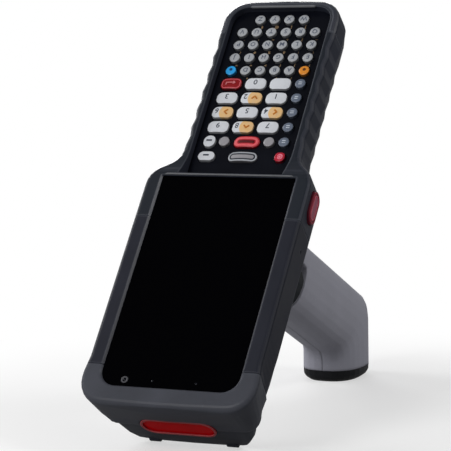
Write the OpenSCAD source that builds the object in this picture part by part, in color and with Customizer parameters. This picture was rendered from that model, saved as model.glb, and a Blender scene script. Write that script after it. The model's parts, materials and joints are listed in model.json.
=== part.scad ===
// Handheld barcode data terminal with a numeric and letter keypad, a touch display and a pistol grip.
// Every piece is drawn lying flat: X across, +Y towards the keypad end, +Z out of the glass,
// with the glass top at z = 0.
// stand() then leans the terminal so that it rests on its nose ribs and on the foot of the grip.

/* [Body] */
// Width of the display end
head_w = 83.2; // [80:0.2:90]
// Width of the keypad end
keypad_w = 61; // [60:0.5:66]
// Length from the glass to the end of the keypad
keypad_l = 108.3; // [104:0.1:116]
// Length of the nose in front of the glass
nose_l = 8.5; // [8:0.5:11]
// Depth of the case from the glass to the flat of the back
case_depth = 30; // [29:0.5:34]
// Further depth of the scanner housing under the nose
nose_drop = 10.3; // [8:0.1:11.5]
// Height of the bumper rim above the glass
rim_up = 1.2; // [0.6:0.2:2]
// Depth of the keypad rim below the glass
keypad_rim_down = 4; // [3:0.5:5]
// Wall of the mouldings
wall = 2.2; // [1.8:0.1:2.6]
// Depth of the finger scallops in the keypad sides
scallop = 0.9; // [0.4:0.1:1.4]

/* [Glass] */
// Width of the touch glass
glass_w = 67; // [60:0.5:67.5]
// Length of the touch glass
glass_l = 112.5; // [104:0.5:120]
// Thickness of the touch glass
glass_t = 1.8; // [1.2:0.1:2.2]
// Corner radius of the glass at the nose
glass_r = 8; // [4:0.5:11]

/* [Keypad] */
// Spacing of the letter keys across
key_pitch = 7.65; // [7.2:0.05:7.8]
// Spacing of the number rows
number_row = 8.55; // [8.2:0.05:8.8]
// Spacing of the letter rows
letter_row = 7.8; // [7.2:0.05:8]
// Spacing of the wide keys across
wide_pitch = 12.8; // [12.4:0.1:13]
// Diameter of a letter key
round_d = 5.2; // [4.6:0.1:5.6]
// Width of a number key
wide_w = 10.6; // [9.6:0.1:11]
// Length of a number key
wide_l = 6.3; // [5.6:0.1:6.6]
// Height of the keys above the face plate
key_up = 1.5; // [1:0.1:2]
// Travel of a key
key_travel = 0.8; // [0.5:0.1:1]

/* [Grip] */
// Width of the grip
grip_w = 31.4; // [28:0.2:36]
// Depth of the grip from front to back
grip_d = 40; // [38:1:44]
// Length of the grip from the case to its bend
grip_l = 136; // [126:1:146]
// Rake of the grip away from square to the case
grip_rake = 15; // [10:1:18]
// Place of the grip along the case, from the glass end
grip_at = 17.3; // [10:0.1:24]
// Travel of the trigger
trigger_swing = 6; // [4:0.5:7]
// Lean of the terminal when it stands on nose and grip
lean = 50.5; // [49:0.1:53]

/* [Scanner] */
// Width of the scan window with its bezel
window_w = 36.5; // [32:0.5:40]
// Height of the scan window with its bezel
window_h = 12.6; // [10:0.2:13.5]

/* [Hidden] */
$fn = 48;

// Clearances
fit = 0.1;        // between fixed mouldings
gap = 0.3;        // between pieces that move past each other
pin_fit = 0.05;   // radial play of the trigger on its pin
joint = 0.1;      // how far the solids of one piece run into each other
eps = 0.01;
over = 1;         // how far a cut runs past a face
big = 300;

// Heights of the layers, from the glass down
rim_z = rim_up;
keypad_rim_z = -keypad_rim_down;
glass_bed_z = -glass_t - fit;
plate_t = 1.5;
parting_z = -17;
back_z = -case_depth;
nose_z = back_z - nose_drop;
face_sink = 3.8;
face_z = keypad_rim_z - face_sink;
face_t = 1.5;
flange_t = 0.8;
flange_z = face_z - face_t - gap;
mat_z = flange_z - flange_t - key_travel - gap;
mat_t = 1;
pill_h = 0.6;
pill_r = 1.1;
keypad_board_z = mat_z - mat_t - pill_h - gap;
board_t = 1.2;
board_play = 0.8;

// Plan of the case
head_x = head_w / 2;
keypad_x = keypad_w / 2;
nose_y = -glass_l - nose_l;
tail_y = keypad_l;
nose_r = 12;
bow = 0.6;
tail_r = 12.5;
neck_r1 = 16;
neck_r2 = 14;
neck_y1 = -5;
neck_dx = head_x - keypad_x - neck_r1 - neck_r2;
neck_y2 = neck_y1 + sqrt(pow(neck_r1 + neck_r2, 2) - pow(neck_dx, 2));
neck_a = acos(-neck_dx / (neck_r1 + neck_r2));
edge_side = 1.8;
edge_nose = 2.6;
edge_keypad = 2.6;
parting_in = 1.3;
parting_nose = 3;
parting_front = 1.2;
corner_out = 1.6;
corner_tuck = 0.35;
keypad_tuck = 0.4;
keypad_flare = 1.1;
bumper_out = 1;
bumper_fade = 8;
belly_in = 11;
belly_round = 0.62;
belly_r = 4;
side_setback = 0.6;
belly_setback = 2.6;
face_tuck_in = 0.22;
bulge_y1 = nose_y + 23;
bumper_y = bulge_y1 - bumper_fade;
bulge_y2 = nose_y + 37;
side_seam_nose = nose_y + 18.6;
side_seam_neck = -23.2;
tail_seam = tail_y - 20;
seam = 0.15;
wrap_t = 4;
rim_w = 4.2;
rim_chamfer = 0.9;
tail_wrap = 3;
lip_h = 5.8;
cavity_in = wrap_t + fit + wall - 0.5;
scallop_pitch = 10.5;
scallops = 6;
scallop_y0 = neck_y2 + 3;

// Keypad grid
row_a = 16.4;
face_x = keypad_x - rim_w - fit;
face_y1 = 6.5;
face_y2 = tail_y - rim_w - fit;
face_r = tail_r - rim_w;
column_x = key_pitch * 2.5;
column_gap = 2.6;
wide_x0 = column_x - round_d / 2 - column_gap - wide_w / 2 - 2 * wide_pitch;

// Grip frame: a runs down the grip, b runs to its back
grip_root = [-grip_at, back_z];
rake_a = [sin(grip_rake), -cos(grip_rake)];
rake_b = [cos(grip_rake), sin(grip_rake)];
down = [-sin(lean), -cos(lean)];
level = [cos(lean), -sin(lean)];
elbow = grip_root + rake_a * grip_l;
bend = acos(rake_a * down);
elbow_n = (rake_b + level) / norm(rake_b + level);
elbow_reach = grip_d / 2 / cos(bend / 2);
elbow_r_back = 10;
elbow_r_front = 9;
bracket_t = 3;
bracket_w = 44;
bracket_l = 86;
bracket_end = -grip_at + bracket_l / 2;
bracket_screw_x = bracket_w / 2 - 6;
bracket_screw_y = bracket_l / 2 - 7;

// Ribs under the nose that the terminal stands on
rib_x = 19.2;
rib_w = 5;
rib_r = 2.2;
rib_out = 1.5;
rib_y = nose_y + 4.75;
rib_z = nose_z + rib_r - rib_out;
rib_root = [-2, 5, 0];
rib_root_r = 1;
ground = down * [rib_y, rib_z] + rib_r;
leg_l = ground - elbow * down;
foot_t = 6;

// Trigger, in the grip's own frame: u forward of the axis, v down from the case
trigger_v1 = 20;
trigger_v2 = 46.5;
trigger_skin = 4;
channel_w = grip_w - 2 * trigger_skin;
channel_d = grip_d - 2 * trigger_skin;
core_w = 0.76 * channel_w;
core_u = grip_d / 2 - trigger_skin - 8;
core_lug = 3;
lug_slope = 2;
pin_u = core_u;
pin_v = trigger_v1 + 4.5;
pin_r = 1.5;
finger_r = 28;
finger_deep = 2;
switch_d = 5;
switch_h = 6.4;
switch_w = 8;
switch_v = (trigger_v1 + trigger_v2) / 2 - 1.5;
switch_play = 0.4;
button_out = 1.2;
button_u = core_u + button_out;

// Scan window
window_z = -21.4;
bezel_t = 1;
bezel_l = 5;
window_t = 1.8;
window_deep = 2.5;
window_ledge = 0.7;
window_proud = 0.2;
window_face_y = nose_y - bow + parting_front - window_proud;

// ---- helpers ------------------------------------------------------------------------------------

function smooth(t) = t <= 0 ? 0 : t >= 1 ? 1 : t * t * (3 - 2 * t);

// Points of an arc with their outward normals: [x, y, nx, ny]
function arc(c, r, a0, a1, n, out = 1) = [
    for (i = [0:n]) let (a = a0 + (a1 - a0) * i / n)
        [c[0] + r * cos(a), c[1] + r * sin(a), out * cos(a), out * sin(a)]];

function tail_of(list) = [for (i = [1:len(list) - 1]) list[i]];

// One side of the case seen from above, from the middle of the nose to the middle of the tail
half_plan = concat(
    [for (t = [0, 0.5]) [t * (head_x - nose_r), nose_y - bow * (1 - t * t), 0, -1]],
    arc([head_x - nose_r, nose_y + nose_r], nose_r, -90, 0, 7),
    [for (y = [bumper_y:bumper_fade / 2:bulge_y1 - 1]) [head_x, y, 1, 0]],
    [for (y = [bulge_y1:(bulge_y2 - bulge_y1) / 4:bulge_y2]) [head_x, y, 1, 0]],
    arc([head_x - neck_r1, neck_y1], neck_r1, 0, neck_a, 5),
    tail_of(arc([keypad_x + neck_r2, neck_y2], neck_r2, neck_a + 180, 180, 4, -1)),
    [for (i = [0:scallops * 4]) [keypad_x, scallop_y0 + i * scallop_pitch / 4, 1, 0]],
    arc([keypad_x - tail_r, tail_y - tail_r], tail_r, 0, 90, 6),
    [[0, tail_y + bow, 0, 1]]);

// Depth of the finger scallops at a place along the keypad sides
function scallop_at(y) =
    y < scallop_y0 || y > scallop_y0 + scallops * scallop_pitch ? 0 :
    scallop * (1 - cos((y - scallop_y0) / scallop_pitch * 360)) / 2;

// Top and bottom of the case along its length
function top_z(y) = rim_z - (rim_z - keypad_rim_z) * smooth((y - neck_y1 - 4) / (neck_y2 - neck_y1 - 4));
function bottom_z(y) = back_z - nose_drop * (1 - smooth((y - bulge_y1) / (bulge_y2 - bulge_y1)));
// The belly is tucked in less at the keypad end, more beside the nose, and hardly at the nose face
function tuck(p) = 1 - keypad_tuck * smooth((p[1] - neck_y1) / (neck_y2 - neck_y1))
    + corner_tuck * abs(p[2]) * (1 - smooth((p[1] - nose_y - nose_r) / 25));
function face_tuck(p) = 1 - (1 - face_tuck_in) * pow(nose_facing(p), 2);
// The rear housing is stepped in from the upper case, more so round the nose
function step_at(y) = belly_setback + (side_setback - belly_setback) * smooth((y - bulge_y1) / 10);
// How far a point faces the nose end, from 0 to 1
function nose_facing(p) = p[1] < bulge_y1 ? max(0, -p[3]) : 0;
// The rim edge is rounder along the nose and the keypad than beside the glass
function edge_at(p) = edge_side + (edge_nose - edge_side) * nose_facing(p)
    + (edge_keypad - edge_side) * smooth((p[1] - neck_y1) / (neck_y2 - neck_y1));
// The rim of the nose bumper stands out beyond the rails
function bumper_at(y) = bumper_out * (1 - smooth((y - bumper_y) / bumper_fade));

// How far the parting line lies inside the widest line of the case: less at the nose and its corners
function parting_at(p) = parting_in + (parting_nose - parting_in) * (1 - smooth((p[1] - nose_y - 3) / 40))
    + (parting_front - parting_nose) * pow(nose_facing(p), 2)
    - keypad_flare * smooth((p[1] - neck_y1) / (neck_y2 - neck_y1))
    - corner_out * pow(2 * p[2] * nose_facing(p), 2);

// How much of the inset d a nose corner can't take without losing its last radius
function past_corner(p, d) = p[1] > nose_y + nose_r + eps || p[0] < head_x - nose_r - eps ? 0
    : max(0, parting_at(p) + d - nose_r + belly_r);

// A point of the case, drawn in by d along its normal
function inset(p, d, nose = 1) = [p[0] - p[2] * d, p[1] - p[3] * d * nose, p[2], p[3]];

// The half plan mirrored into a full ring
function ring(half) = concat(half,
    [for (i = [len(half) - 2:-1:1]) [-half[i][0], half[i][1], half[i][2]]]);

// The rim at an angle of its round edge, from 0 at the side of the case to 90 on top of the rim
function top_ring(a) = ring([for (p = half_plan)
    let (r = edge_at(p), q = inset(p, r * (1 - cos(a)) + scallop_at(p[1]) - bumper_at(p[1])))
        [q[0], q[1], top_z(p[1]) - r * (1 - sin(a))]]);
function parting_ring() = ring([for (p = half_plan)
    let (q = inset(p, parting_at(p) + scallop_at(p[1]))) [q[0], q[1], parting_z]]);
function belly_ring(a, extra, step) = ring([for (p = half_plan)
    let (d = extra + step * step_at(p[1])
            + (belly_in - parting_in) * pow(1 - cos(a), belly_round) * tuck(p),
        e = past_corner(p, d),
        q = inset(inset(p, parting_at(p) + scallop_at(p[1]) * cos(a)), d - e, face_tuck(p)))
        [q[0] - e, q[1] + e * face_tuck_in, parting_z + (bottom_z(p[1]) - parting_z) * sin(a)]]);

// A closed skin through rings of mirrored points, the first ring lowest
module loft(rings) {
    n = len(rings[0]);
    m = n / 2;
    last = len(rings) - 1;
    side = [for (k = [0:last - 1]) for (i = [0:n - 1]) let (j = (i + 1) % n)
        for (t = [[k * n + i, (k + 1) * n + j, k * n + j],
                  [k * n + i, (k + 1) * n + i, (k + 1) * n + j]]) t];
    lid = [for (s = [[0, 1], [last, -1]]) for (i = [0:m - 1])
        let (a = s[0] * n + i, b = a + 1, c = s[0] * n + (n - i - 1) % n, d = s[0] * n + (n - i) % n,
            q = i == 0 ? [a, b, c] : i == m - 1 ? [a, b, d] : [a, b, c, d])
        s[1] > 0 ? q : [for (v = [len(q) - 1:-1:0]) q[v]]];
    polyhedron([for (r = rings) for (p = r) p], concat(side, lid));
}

// Upper and lower skins of the case
module upper_skin() {
    loft(concat([parting_ring()], [for (a = [0:22.5:90]) top_ring(a)]));
}

module lower_skin(extra = 0, step = 0) {
    loft([for (a = [90:-22.5:0]) belly_ring(a, extra, step)]);
}

// Straight prism of the case plan, drawn in by d
module plan_prism(d, z0, z1) {
    half = [for (p = half_plan) let (q = inset(p, d)) [q[0], q[1]]];
    translate([0, 0, z0])
        linear_extrude(z1 - z0)
            polygon(concat(half, [for (i = [len(half) - 2:-1:1]) [-half[i][0], half[i][1]]]));
}

// Everything between two places along the case
module slab(y0, y1, z0 = -big, z1 = big) {
    translate([-big, y0, z0]) cube([2 * big, y1 - y0, z1 - z0]);
}

module box(x0, x1, y0, y1, z0, z1) {
    translate([x0, y0, z0]) cube([x1 - x0, y1 - y0, z1 - z0]);
}

module mirrored() {
    children();
    mirror([1, 0, 0]) children();
}

// Rectangle with round corners
module pad(w, l, r) {
    square([w - 2 * r, l], center = true);
    square([w, l - 2 * r], center = true);
    for (x = [-1, 1]) for (y = [-1, 1])
        translate([x * (w / 2 - r), y * (l / 2 - r)]) circle(r);
}

// Leans the flat terminal onto its nose and foot, with the middle of its length over the origin
nose_front = min([for (p = top_ring(0)) p[1] * cos(lean) - p[2] * sin(lean)]);
nose_rim = min([for (p = top_ring(45)) p[1] * cos(lean) - p[2] * sin(lean)]);
back_reach = elbow * level + grip_d / 2;
middle = (min(nose_front, nose_rim) + back_reach) / 2;
module stand() {
    translate([0, -middle, ground]) rotate([lean, 0, 0]) children();
}

// ---- case ---------------------------------------------------------------------------------------

screw_r = 1.2;
screw_bite = 0.1;
screw_head_r = 2.4;
boss_r = 3.4;
boss_h = 2;
boss_in = 0.3;
boss_x = head_x - cavity_in - boss_r + boss_in;
tail_boss = (tail_r - cavity_in - boss_r + boss_in) / sqrt(2);
case_screw_at = [[boss_x, bulge_y2 + 4], [boss_x, side_seam_neck - 4],
    [keypad_x - tail_r + tail_boss, tail_y - tail_r + tail_boss]];
screw_sink = 6.6;
screw_head_z = back_z + screw_sink;
screw_head_t = 1.6;
screw_hole = 6;
head_play = 0.2;
socket_r = 1.1;
socket_deep = 1.2;

module at_case_screws() {
    for (p = case_screw_at) for (s = [-1, 1]) translate([s * p[0], p[1], 0]) children();
}

module glass_pocket() {
    translate([0, 0, glass_bed_z]) linear_extrude(big) glass_plan(fit);
    // chamfer on the rim round the glass
    loft_rings([for (d = [-rim_chamfer / 2, 2 * rim_chamfer])
        glass_ring(fit + d, rim_z - rim_chamfer + d)]);
}

// Outline of the glass grown by g on its sides and at its nose end, at height z
function glass_ring(g, z) = let (x = glass_w / 2 - glass_r, y = glass_r - glass_l, r = glass_r + g) concat(
    [[x + r, fit, z]],
    [for (a = [0:7.5:90]) [x + r * cos(a), y - r * sin(a), z]],
    [for (a = [90:7.5:180]) [-x + r * cos(a), y - r * sin(a), z]],
    [[-x - r, fit, z]]);

module glass_plan(grow = 0) {
    r = glass_r + grow;
    w = glass_w / 2 + grow;
    difference() {
        translate([-w, -glass_l - grow]) square([2 * w, glass_l + 2 * grow]);
        for (s = [-1, 1]) translate([s * w, -glass_l - grow]) square(2 * r, center = true);
    }
    for (s = [-1, 1]) translate([s * (w - r), -glass_l - grow + r]) circle(r);
}

// The keypad face seen from above
module face_plan(grow = 0) {
    x = face_x + grow;
    r = face_r + grow;
    y2 = face_y2 + grow;
    translate([-x, face_y1 - grow]) square([2 * x, y2 - r - face_y1 + grow]);
    translate([-x + r, y2 - r - 1]) square([2 * (x - r), r + 1]);
    for (s = [-1, 1]) translate([s * (x - r), y2 - r]) circle(r);
}

side_button_y = -10;
side_button_z = -9;
side_button_l = 16.5;
side_button_h = 9;
button_travel = 1;
button_lip = 0.8;
button_up = 0.5;
button_in_x = head_x - cavity_in - gap;

module side_button_hole(grow) {
    translate([0, side_button_y, side_button_z]) rotate([90, 0, 90])
        linear_extrude(2 * head_w, center = true)
            pad(side_button_l + 2 * grow, side_button_h + 2 * grow, side_button_h / 2 + grow - eps);
}

glass_seat = 4.15;
display_w = glass_w - 2 * glass_seat;
display_l = glass_l - 2 * glass_seat;
bank_l = 5.8;
bank_up = 6;

module front_housing() color("#2c2d39") stand() difference() {
    union() {
        front_shell();
        // bosses that the case screws bite into
        at_case_screws() translate([0, 0, parting_z]) cylinder(h = boss_h, r = boss_r);
    }
    at_case_screws() translate([0, 0, parting_z - over]) cylinder(h = screw_hole, r = screw_r - screw_bite);
}

module front_shell() difference() {
    union() {
        intersection() {
            upper_skin();
            slab(side_seam_neck + seam, tail_y + over);
        }
        intersection() {
            plan_prism(wrap_t + fit, parting_z, glass_bed_z);
            slab(nose_y, side_seam_neck + over);
        }
    }
    // room inside, with a roof under the glass and another under the keypad rim
    intersection() {
        plan_prism(cavity_in, parting_z - over, glass_bed_z - plate_t);
        slab(nose_y, face_y1 - bank_l);
    }
    intersection() {
        plan_prism(cavity_in, parting_z - over, face_z - face_t - fit);
        slab(face_y1 - bank_l - over, tail_y);
    }
    glass_pocket();
    box(-display_w / 2 - fit, display_w / 2 + fit, -(glass_l + display_l) / 2 - fit,
        -(glass_l - display_l) / 2 + fit, -big, 0);
    // recess that the face plate lies in, with a sloped bank at the display end
    translate([0, 0, face_z - face_t - fit]) linear_extrude(big) face_plan(fit);
    rotate([90, 0, 90]) linear_extrude(2 * face_x + 2 * fit, center = true)
        polygon([[face_y1, face_z], [face_y1 - bank_l, rim_z + over], [face_y1 + bank_up, rim_z + over],
            [face_y1 + bank_up, face_z]]);
    // room for the flanges of the keys
    for (k = all_keys) translate([k[1], k[2], mat_z]) linear_extrude(face_z - face_t - mat_z)
        pad(k[3] + 2 * flange_w + 2 * gap, k[4] + 2 * flange_w + 2 * gap, k[5] + flange_w);
    // the tail bumper wraps this edge
    difference() {
        slab(tail_seam, big);
        plan_prism(tail_wrap + fit, -big, big);
    }
    mirrored() intersection() {
        side_button_hole(gap);
        box(head_x - cavity_in - over, big, -big, big, -big, big);
    }
    mirrored() intersection() {
        side_button_hole(button_lip + gap);
        box(0, head_x - cavity_in - eps, -big, big, -big, big);
    }
    window_pocket();
}

module rear_housing() color("#2a2b35") stand() difference() {
    union() {
        difference() {
            intersection() {
                lower_skin(seam, 1);
                union() {
                    slab(side_seam_nose, big);
                    slab(nose_y - over, side_seam_nose + over, -big, parting_z - lip_h);
                    plan_prism(wrap_t + fit, parting_z - lip_h - 1, parting_z);
                }
            }
            // hollow that follows the outside, deeper in the nose
            intersection() {
                translate([0, 0, wall]) lower_skin(seam + wall, 1);
                plan_prism(cavity_in, -big, big);
            }
        }
        battery_bay(wall - fit, 0);
        at_bracket_screws() translate([0, 0, back_z + over]) cylinder(h = bracket_boss_h, r = bracket_boss_r);
        // pads that the latch slides in and the dock contacts sit in
        box(-latch_w / 2 - wall, latch_w / 2 + wall, bracket_end - wall, battery_y1 - over,
            back_z + over, tongue_z + wall);
        box(-dock_w / 2 - wall, dock_w / 2 + wall, dock_y - dock_l / 2 - wall, dock_y + dock_l / 2 + over,
            back_z + over, back_z + dock_deep + contact_t + wall / 2);
        // posts for the case screws
        intersection() {
            at_case_screws() translate([0, 0, back_z - over]) cylinder(h = big, r = boss_r);
            lower_skin(seam, 1);
        }
        // ribs under the nose
        for (s = [-1, 1]) translate([s * rib_x, rib_y, rib_z]) rotate([0, 90, 0]) hull() {
            cylinder(h = rib_w, r = rib_r, center = true);
            translate(rib_root) cylinder(h = rib_w, r = rib_root_r, center = true);
        }
    }
    battery_bay(0, over);
    window_pocket();
    at_case_screws() {
        translate([0, 0, -big]) cylinder(h = big + screw_head_z, r = screw_head_r + head_play);
        translate([0, 0, -big]) cylinder(h = 2 * big, r = screw_r + fit);
    }
    latch_slot();
    dock_slot();
    bracket_holes(screw_r - screw_bite);
}

// ---- bumpers and rails --------------------------------------------------------------------------

module nose_bumper() color("#34353f") stand() difference() {
    union() {
        intersection() {
            upper_skin();
            slab(nose_y - over, side_seam_nose - seam);
        }
        intersection() {
            lower_skin();
            slab(nose_y - over, side_seam_nose - seam, parting_z - lip_h + seam, parting_z);
        }
    }
    plan_prism(wrap_t, -big, glass_bed_z + eps);
    glass_pocket();
    window_pocket();
}

rail_holes = [[side_seam_nose + 16.4, parting_z + 5], [side_seam_neck - 10.2, parting_z + 7.2]];
rail_hole_r = 0.9;
rail_hole_deep = 1;

module side_rails() color("#26272f") stand() difference() {
    intersection() {
        upper_skin();
        slab(side_seam_nose + seam, side_seam_neck - seam);
    }
    plan_prism(wrap_t, -big, glass_bed_z + eps);
    glass_pocket();
    // blind access holes in the right rail
    for (p = rail_holes) translate([head_x, p[0], p[1]]) rotate([0, 90, 0])
        cylinder(h = 2 * rail_hole_deep, r = rail_hole_r, center = true);
}

module tail_bumper() color("#2c2d39") stand() difference() {
    intersection() {
        upper_skin();
        slab(tail_seam + seam, tail_y + over);
    }
    plan_prism(tail_wrap, -big, big);
}

// ---- glass and electronics ----------------------------------------------------------------------

module touch_glass() color("#050506") stand() {
    translate([0, 0, -glass_t]) linear_extrude(glass_t) glass_plan();
}

module display_module() color("#1a1a1c") stand() {
    // panel, and the thinner frame behind it
    translate([0, -glass_l / 2, glass_bed_z - fit - panel_t]) {
        linear_extrude(panel_t) pad(display_w, display_l, 2);
        translate([0, 0, -frame_t]) linear_extrude(frame_t + joint)
            pad(display_w - 2 * frame_in, display_l - 3 * frame_in, 1);
    }
}

panel_t = 2.4;
frame_t = 1;
frame_in = 2;
main_board_z = glass_bed_z - plate_t - 7;
engine_l = 13;
engine_w = 26;
engine_h = 13;
lens_out = 2;
lens_r = 4;
lens_bore_r = 2.6;
lens_x = 6.5;
engine_y = window_face_y + bezel_l + gap + lens_out;
board_y1 = engine_y + engine_l + 5;
board_y2 = 3;
board_hole_r = 1.6;
// Parts on the main board: [x, y from the glass end, width, length, height, below the board]
board_parts = [[0, -54, 38, 32, -2.2], [0, -15, 24, 18, -3], [-18, -86, 12, 12, 2], [14, -83, 16, 14, 1.4]];

module main_board() color("#1d4d38") stand() difference() {
    union() {
        intersection() {
            plan_prism(cavity_in + board_play, main_board_z - board_t, main_board_z);
            slab(board_y1, board_y2);
        }
        for (p = board_parts)
            translate([p[0], p[1], p[4] > 0 ? main_board_z - joint : main_board_z - board_t + p[4]])
                linear_extrude(abs(p[4]) + joint) square([p[2], p[3]], center = true);
    }
    for (x = [-1, 1]) for (y = [-1, 1])
        translate([x * (head_x - cavity_in - 6), -glass_l / 2 + y * glass_l / 4, -big])
            cylinder(h = big, r = board_hole_r);
    // room for the side buttons
    mirrored() box(button_in_x - button_t - button_travel - gap, big,
        side_button_y - side_button_l / 2 - wall, side_button_y + side_button_l / 2 + wall, -big, 0);
}

module keypad_board() color("#1d4d38") stand() {
    translate([0, 0, keypad_board_z - board_t]) linear_extrude(board_t) board_plan();
}

// Outline shared by the key mat and its board
module board_plan() {
    difference() {
        y1 = face_y1 + 1;
        y2 = tail_y - cavity_in - board_play;
        translate([0, (y1 + y2) / 2])
            pad(2 * (keypad_x - cavity_in - board_play), y2 - y1, tail_r - cavity_in - board_play);
        for (s = [-1, 1]) translate([s * case_screw_at[2][0], case_screw_at[2][1]])
            circle(boss_r + board_play);
    }
}

module keypad_mat() color("#c9ccd0") stand() {
    translate([0, 0, mat_z - mat_t]) linear_extrude(mat_t) board_plan();
    for (k = all_keys) translate([k[1], k[2], mat_z - mat_t - pill_h])
        cylinder(h = pill_h + joint, r = pill_r);
}

module scan_engine() color("#17181c") stand() {
    translate([0, engine_y + engine_l / 2, window_z]) cube([engine_w, engine_l, engine_h], center = true);
    // aiming and imaging lenses
    for (s = [-1, 1]) translate([s * lens_x, engine_y + joint, window_z]) rotate([90, 0, 0]) difference() {
        cylinder(h = lens_out + joint, r = lens_r);
        translate([0, 0, joint + lens_out / 2]) cylinder(h = lens_out, r = lens_bore_r);
    }
}

module window_outline(w, h) {
    pad(w, h, h / 2 - eps);
}

// Turned square to the nose, with its outside facing forward
module on_nose(y) {
    translate([0, y, window_z]) rotate([90, 0, 0]) children();
}

module window_pocket() {
    on_nose(nose_y + cavity_in + over) linear_extrude(big)
        window_outline(window_w + 2 * fit, window_h + 2 * fit);
}

module window_bezel() color("#c65a62") stand() difference() {
    on_nose(window_face_y + bezel_l) linear_extrude(bezel_l) window_outline(window_w, window_h);
    on_nose(window_face_y + bezel_l + over) linear_extrude(big)
        window_outline(window_w - 2 * bezel_t - 2 * window_ledge, window_h - 2 * bezel_t - 2 * window_ledge);
    on_nose(window_face_y + window_deep + fit) linear_extrude(big)
        window_outline(window_w - 2 * bezel_t, window_h - 2 * bezel_t);
}

module scan_window() color("#9c0010") stand() {
    on_nose(window_face_y + window_deep) linear_extrude(window_t)
        window_outline(window_w - 2 * bezel_t - 2 * fit, window_h - 2 * bezel_t - 2 * fit);
}

// ---- back of the case ---------------------------------------------------------------------------

release = 3;
latch_w = 15;
latch_l = 8;
latch_t = 1.6;
latch_bars = 4;
battery_y1 = bracket_end + latch_l + release + 2 * gap;
battery_y2 = tail_y - 15;
battery_x = keypad_x - 10;
battery_h = 10;
battery_r = 3;
battery_bars = 5;
bar_out = 0.6;
bar_in = 9;
tongue_in = 2;
tongue_z = back_z + 2.2;
tongue_tip = 2.2;
tongue_gap = 0.4;
tongue_edge = 0.8;

// Room of the battery pack, grown by t on every side
module battery_bay(t, past) {
    box(-battery_x - gap - t, battery_x + gap + t, battery_y1 - gap - t, battery_y2 + gap + t,
        back_z - past + (past > 0 ? 0 : eps), back_z + battery_h + gap + t);
}

// A row of n raised bars across the back, 2 * x long, one after the other along the case
module bars(n, x, y, w, pitch) {
    for (i = [0:n - 1]) box(-x, x, y + i * pitch, y + i * pitch + w, back_z - bar_out, back_z + joint);
}

module battery_pack() color("#22232b") stand() difference() {
    union() {
        translate([0, (battery_y1 + battery_y2) / 2, back_z]) linear_extrude(battery_h)
            pad(2 * battery_x, battery_y2 - battery_y1, battery_r);
        bars(battery_bars, bar_in, battery_y2 - 20, 1.4, 3);
    }
    // notch for the latch tongue, sloped so that the tongue draws back as the pack comes out
    rotate([90, 0, 90]) linear_extrude(latch_w - 2 * tongue_in + 2 * gap, center = true) polygon([
        [battery_y1 - over, tongue_z - tongue_gap],
        [battery_y1 + tongue_tip + tongue_gap, tongue_z - tongue_gap],
        [battery_y1 + tongue_tip + tongue_gap, tongue_z + tongue_edge],
        [battery_y1 - over, tongue_z + tongue_edge + tongue_tip + tongue_gap + over]]);
}

module latch_slot() {
    box(-latch_w / 2 - gap, latch_w / 2 + gap, bracket_end, battery_y1,
        back_z - over, back_z + latch_t + gap);
    box(-latch_w / 2 + tongue_in - gap, latch_w / 2 - tongue_in + gap, bracket_end, battery_y1,
        back_z, tongue_z + tongue_edge + tongue_tip + 2 * tongue_gap + gap);
}

module battery_latch() color("#3a3b45") stand() {
    y1 = battery_y1 - gap - latch_l;
    y2 = battery_y1 - tongue_gap;
    box(-latch_w / 2, latch_w / 2, y1, y2, back_z, back_z + latch_t);
    bars(latch_bars, latch_w / 2 - tongue_in, y1 + 1, 0.8, 1.7);
    // tongue: its upper slope runs at 45 degrees, tongue_gap below the slope of the notch
    top = tongue_z + tongue_edge - tongue_gap;
    root = back_z + latch_t - joint;
    rotate([90, 0, 90]) linear_extrude(latch_w - 2 * tongue_in, center = true) polygon([
        [y1 + 1, root], [y2, root], [y2, tongue_z], [battery_y1 + tongue_tip, tongue_z],
        [battery_y1 + tongue_tip, top], [y2, top + tongue_tip + tongue_gap],
        [y1 + 1, top + tongue_tip + tongue_gap]]);
}

dock_pads = 10;
dock_pitch = 2.4;
dock_y = tail_y - 8;
dock_w = dock_pads * dock_pitch + 2;
dock_l = 5;
dock_r = 1.2;
dock_deep = 0.5;
contact_t = 1;
contact_w = 1.5;
contact_l = 3.4;
contact_r = 0.4;

module at_dock_contacts() {
    for (i = [0:dock_pads - 1])
        translate([(i - (dock_pads - 1) / 2) * dock_pitch, dock_y, back_z + dock_deep]) children();
}

// Shallow tray with a pocket for each contact
module dock_slot() {
    translate([0, dock_y, back_z - over]) linear_extrude(over + dock_deep) pad(dock_w, dock_l, dock_r);
    at_dock_contacts() linear_extrude(contact_t + fit)
        pad(contact_w + 2 * fit, contact_l + 2 * fit, contact_r + fit);
}

module dock_contacts() color("#c9a34a") stand() {
    at_dock_contacts() translate([0, 0, -dock_deep / 2]) linear_extrude(contact_t + dock_deep / 2)
        pad(contact_w, contact_l, contact_r);
}

// A screw with its head below z = 0 and a hexagon socket in it
module screw(l) difference() {
    union() {
        translate([0, 0, -screw_head_t]) cylinder(h = screw_head_t, r = screw_head_r);
        translate([0, 0, -joint]) cylinder(h = l + joint, r = screw_r);
    }
    translate([0, 0, -screw_head_t - over]) cylinder(h = socket_deep + over, r = socket_r, $fn = 6);
}

module case_screws() color("#5b5d63") stand() at_case_screws()
    translate([0, 0, screw_head_z]) screw(parting_z + boss_h - screw_head_z - gap);

button_t = 1.2;

module side_button(s) {
    color("#7a1f2c") stand() scale([s, 1, 1]) translate([0, side_button_y, side_button_z])
        rotate([90, 0, 90]) {
            translate([0, 0, button_in_x - button_t]) linear_extrude(button_t)
                pad(side_button_l + 2 * button_lip, side_button_h + 2 * button_lip,
                    side_button_h / 2 + button_lip - eps);
            translate([0, 0, button_in_x - joint]) linear_extrude(head_x + button_up - button_in_x + joint)
                pad(side_button_l, side_button_h, side_button_h / 2 - eps);
        }
}

module side_button_left() { side_button(-1); }
module side_button_right() { side_button(1); }

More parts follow.
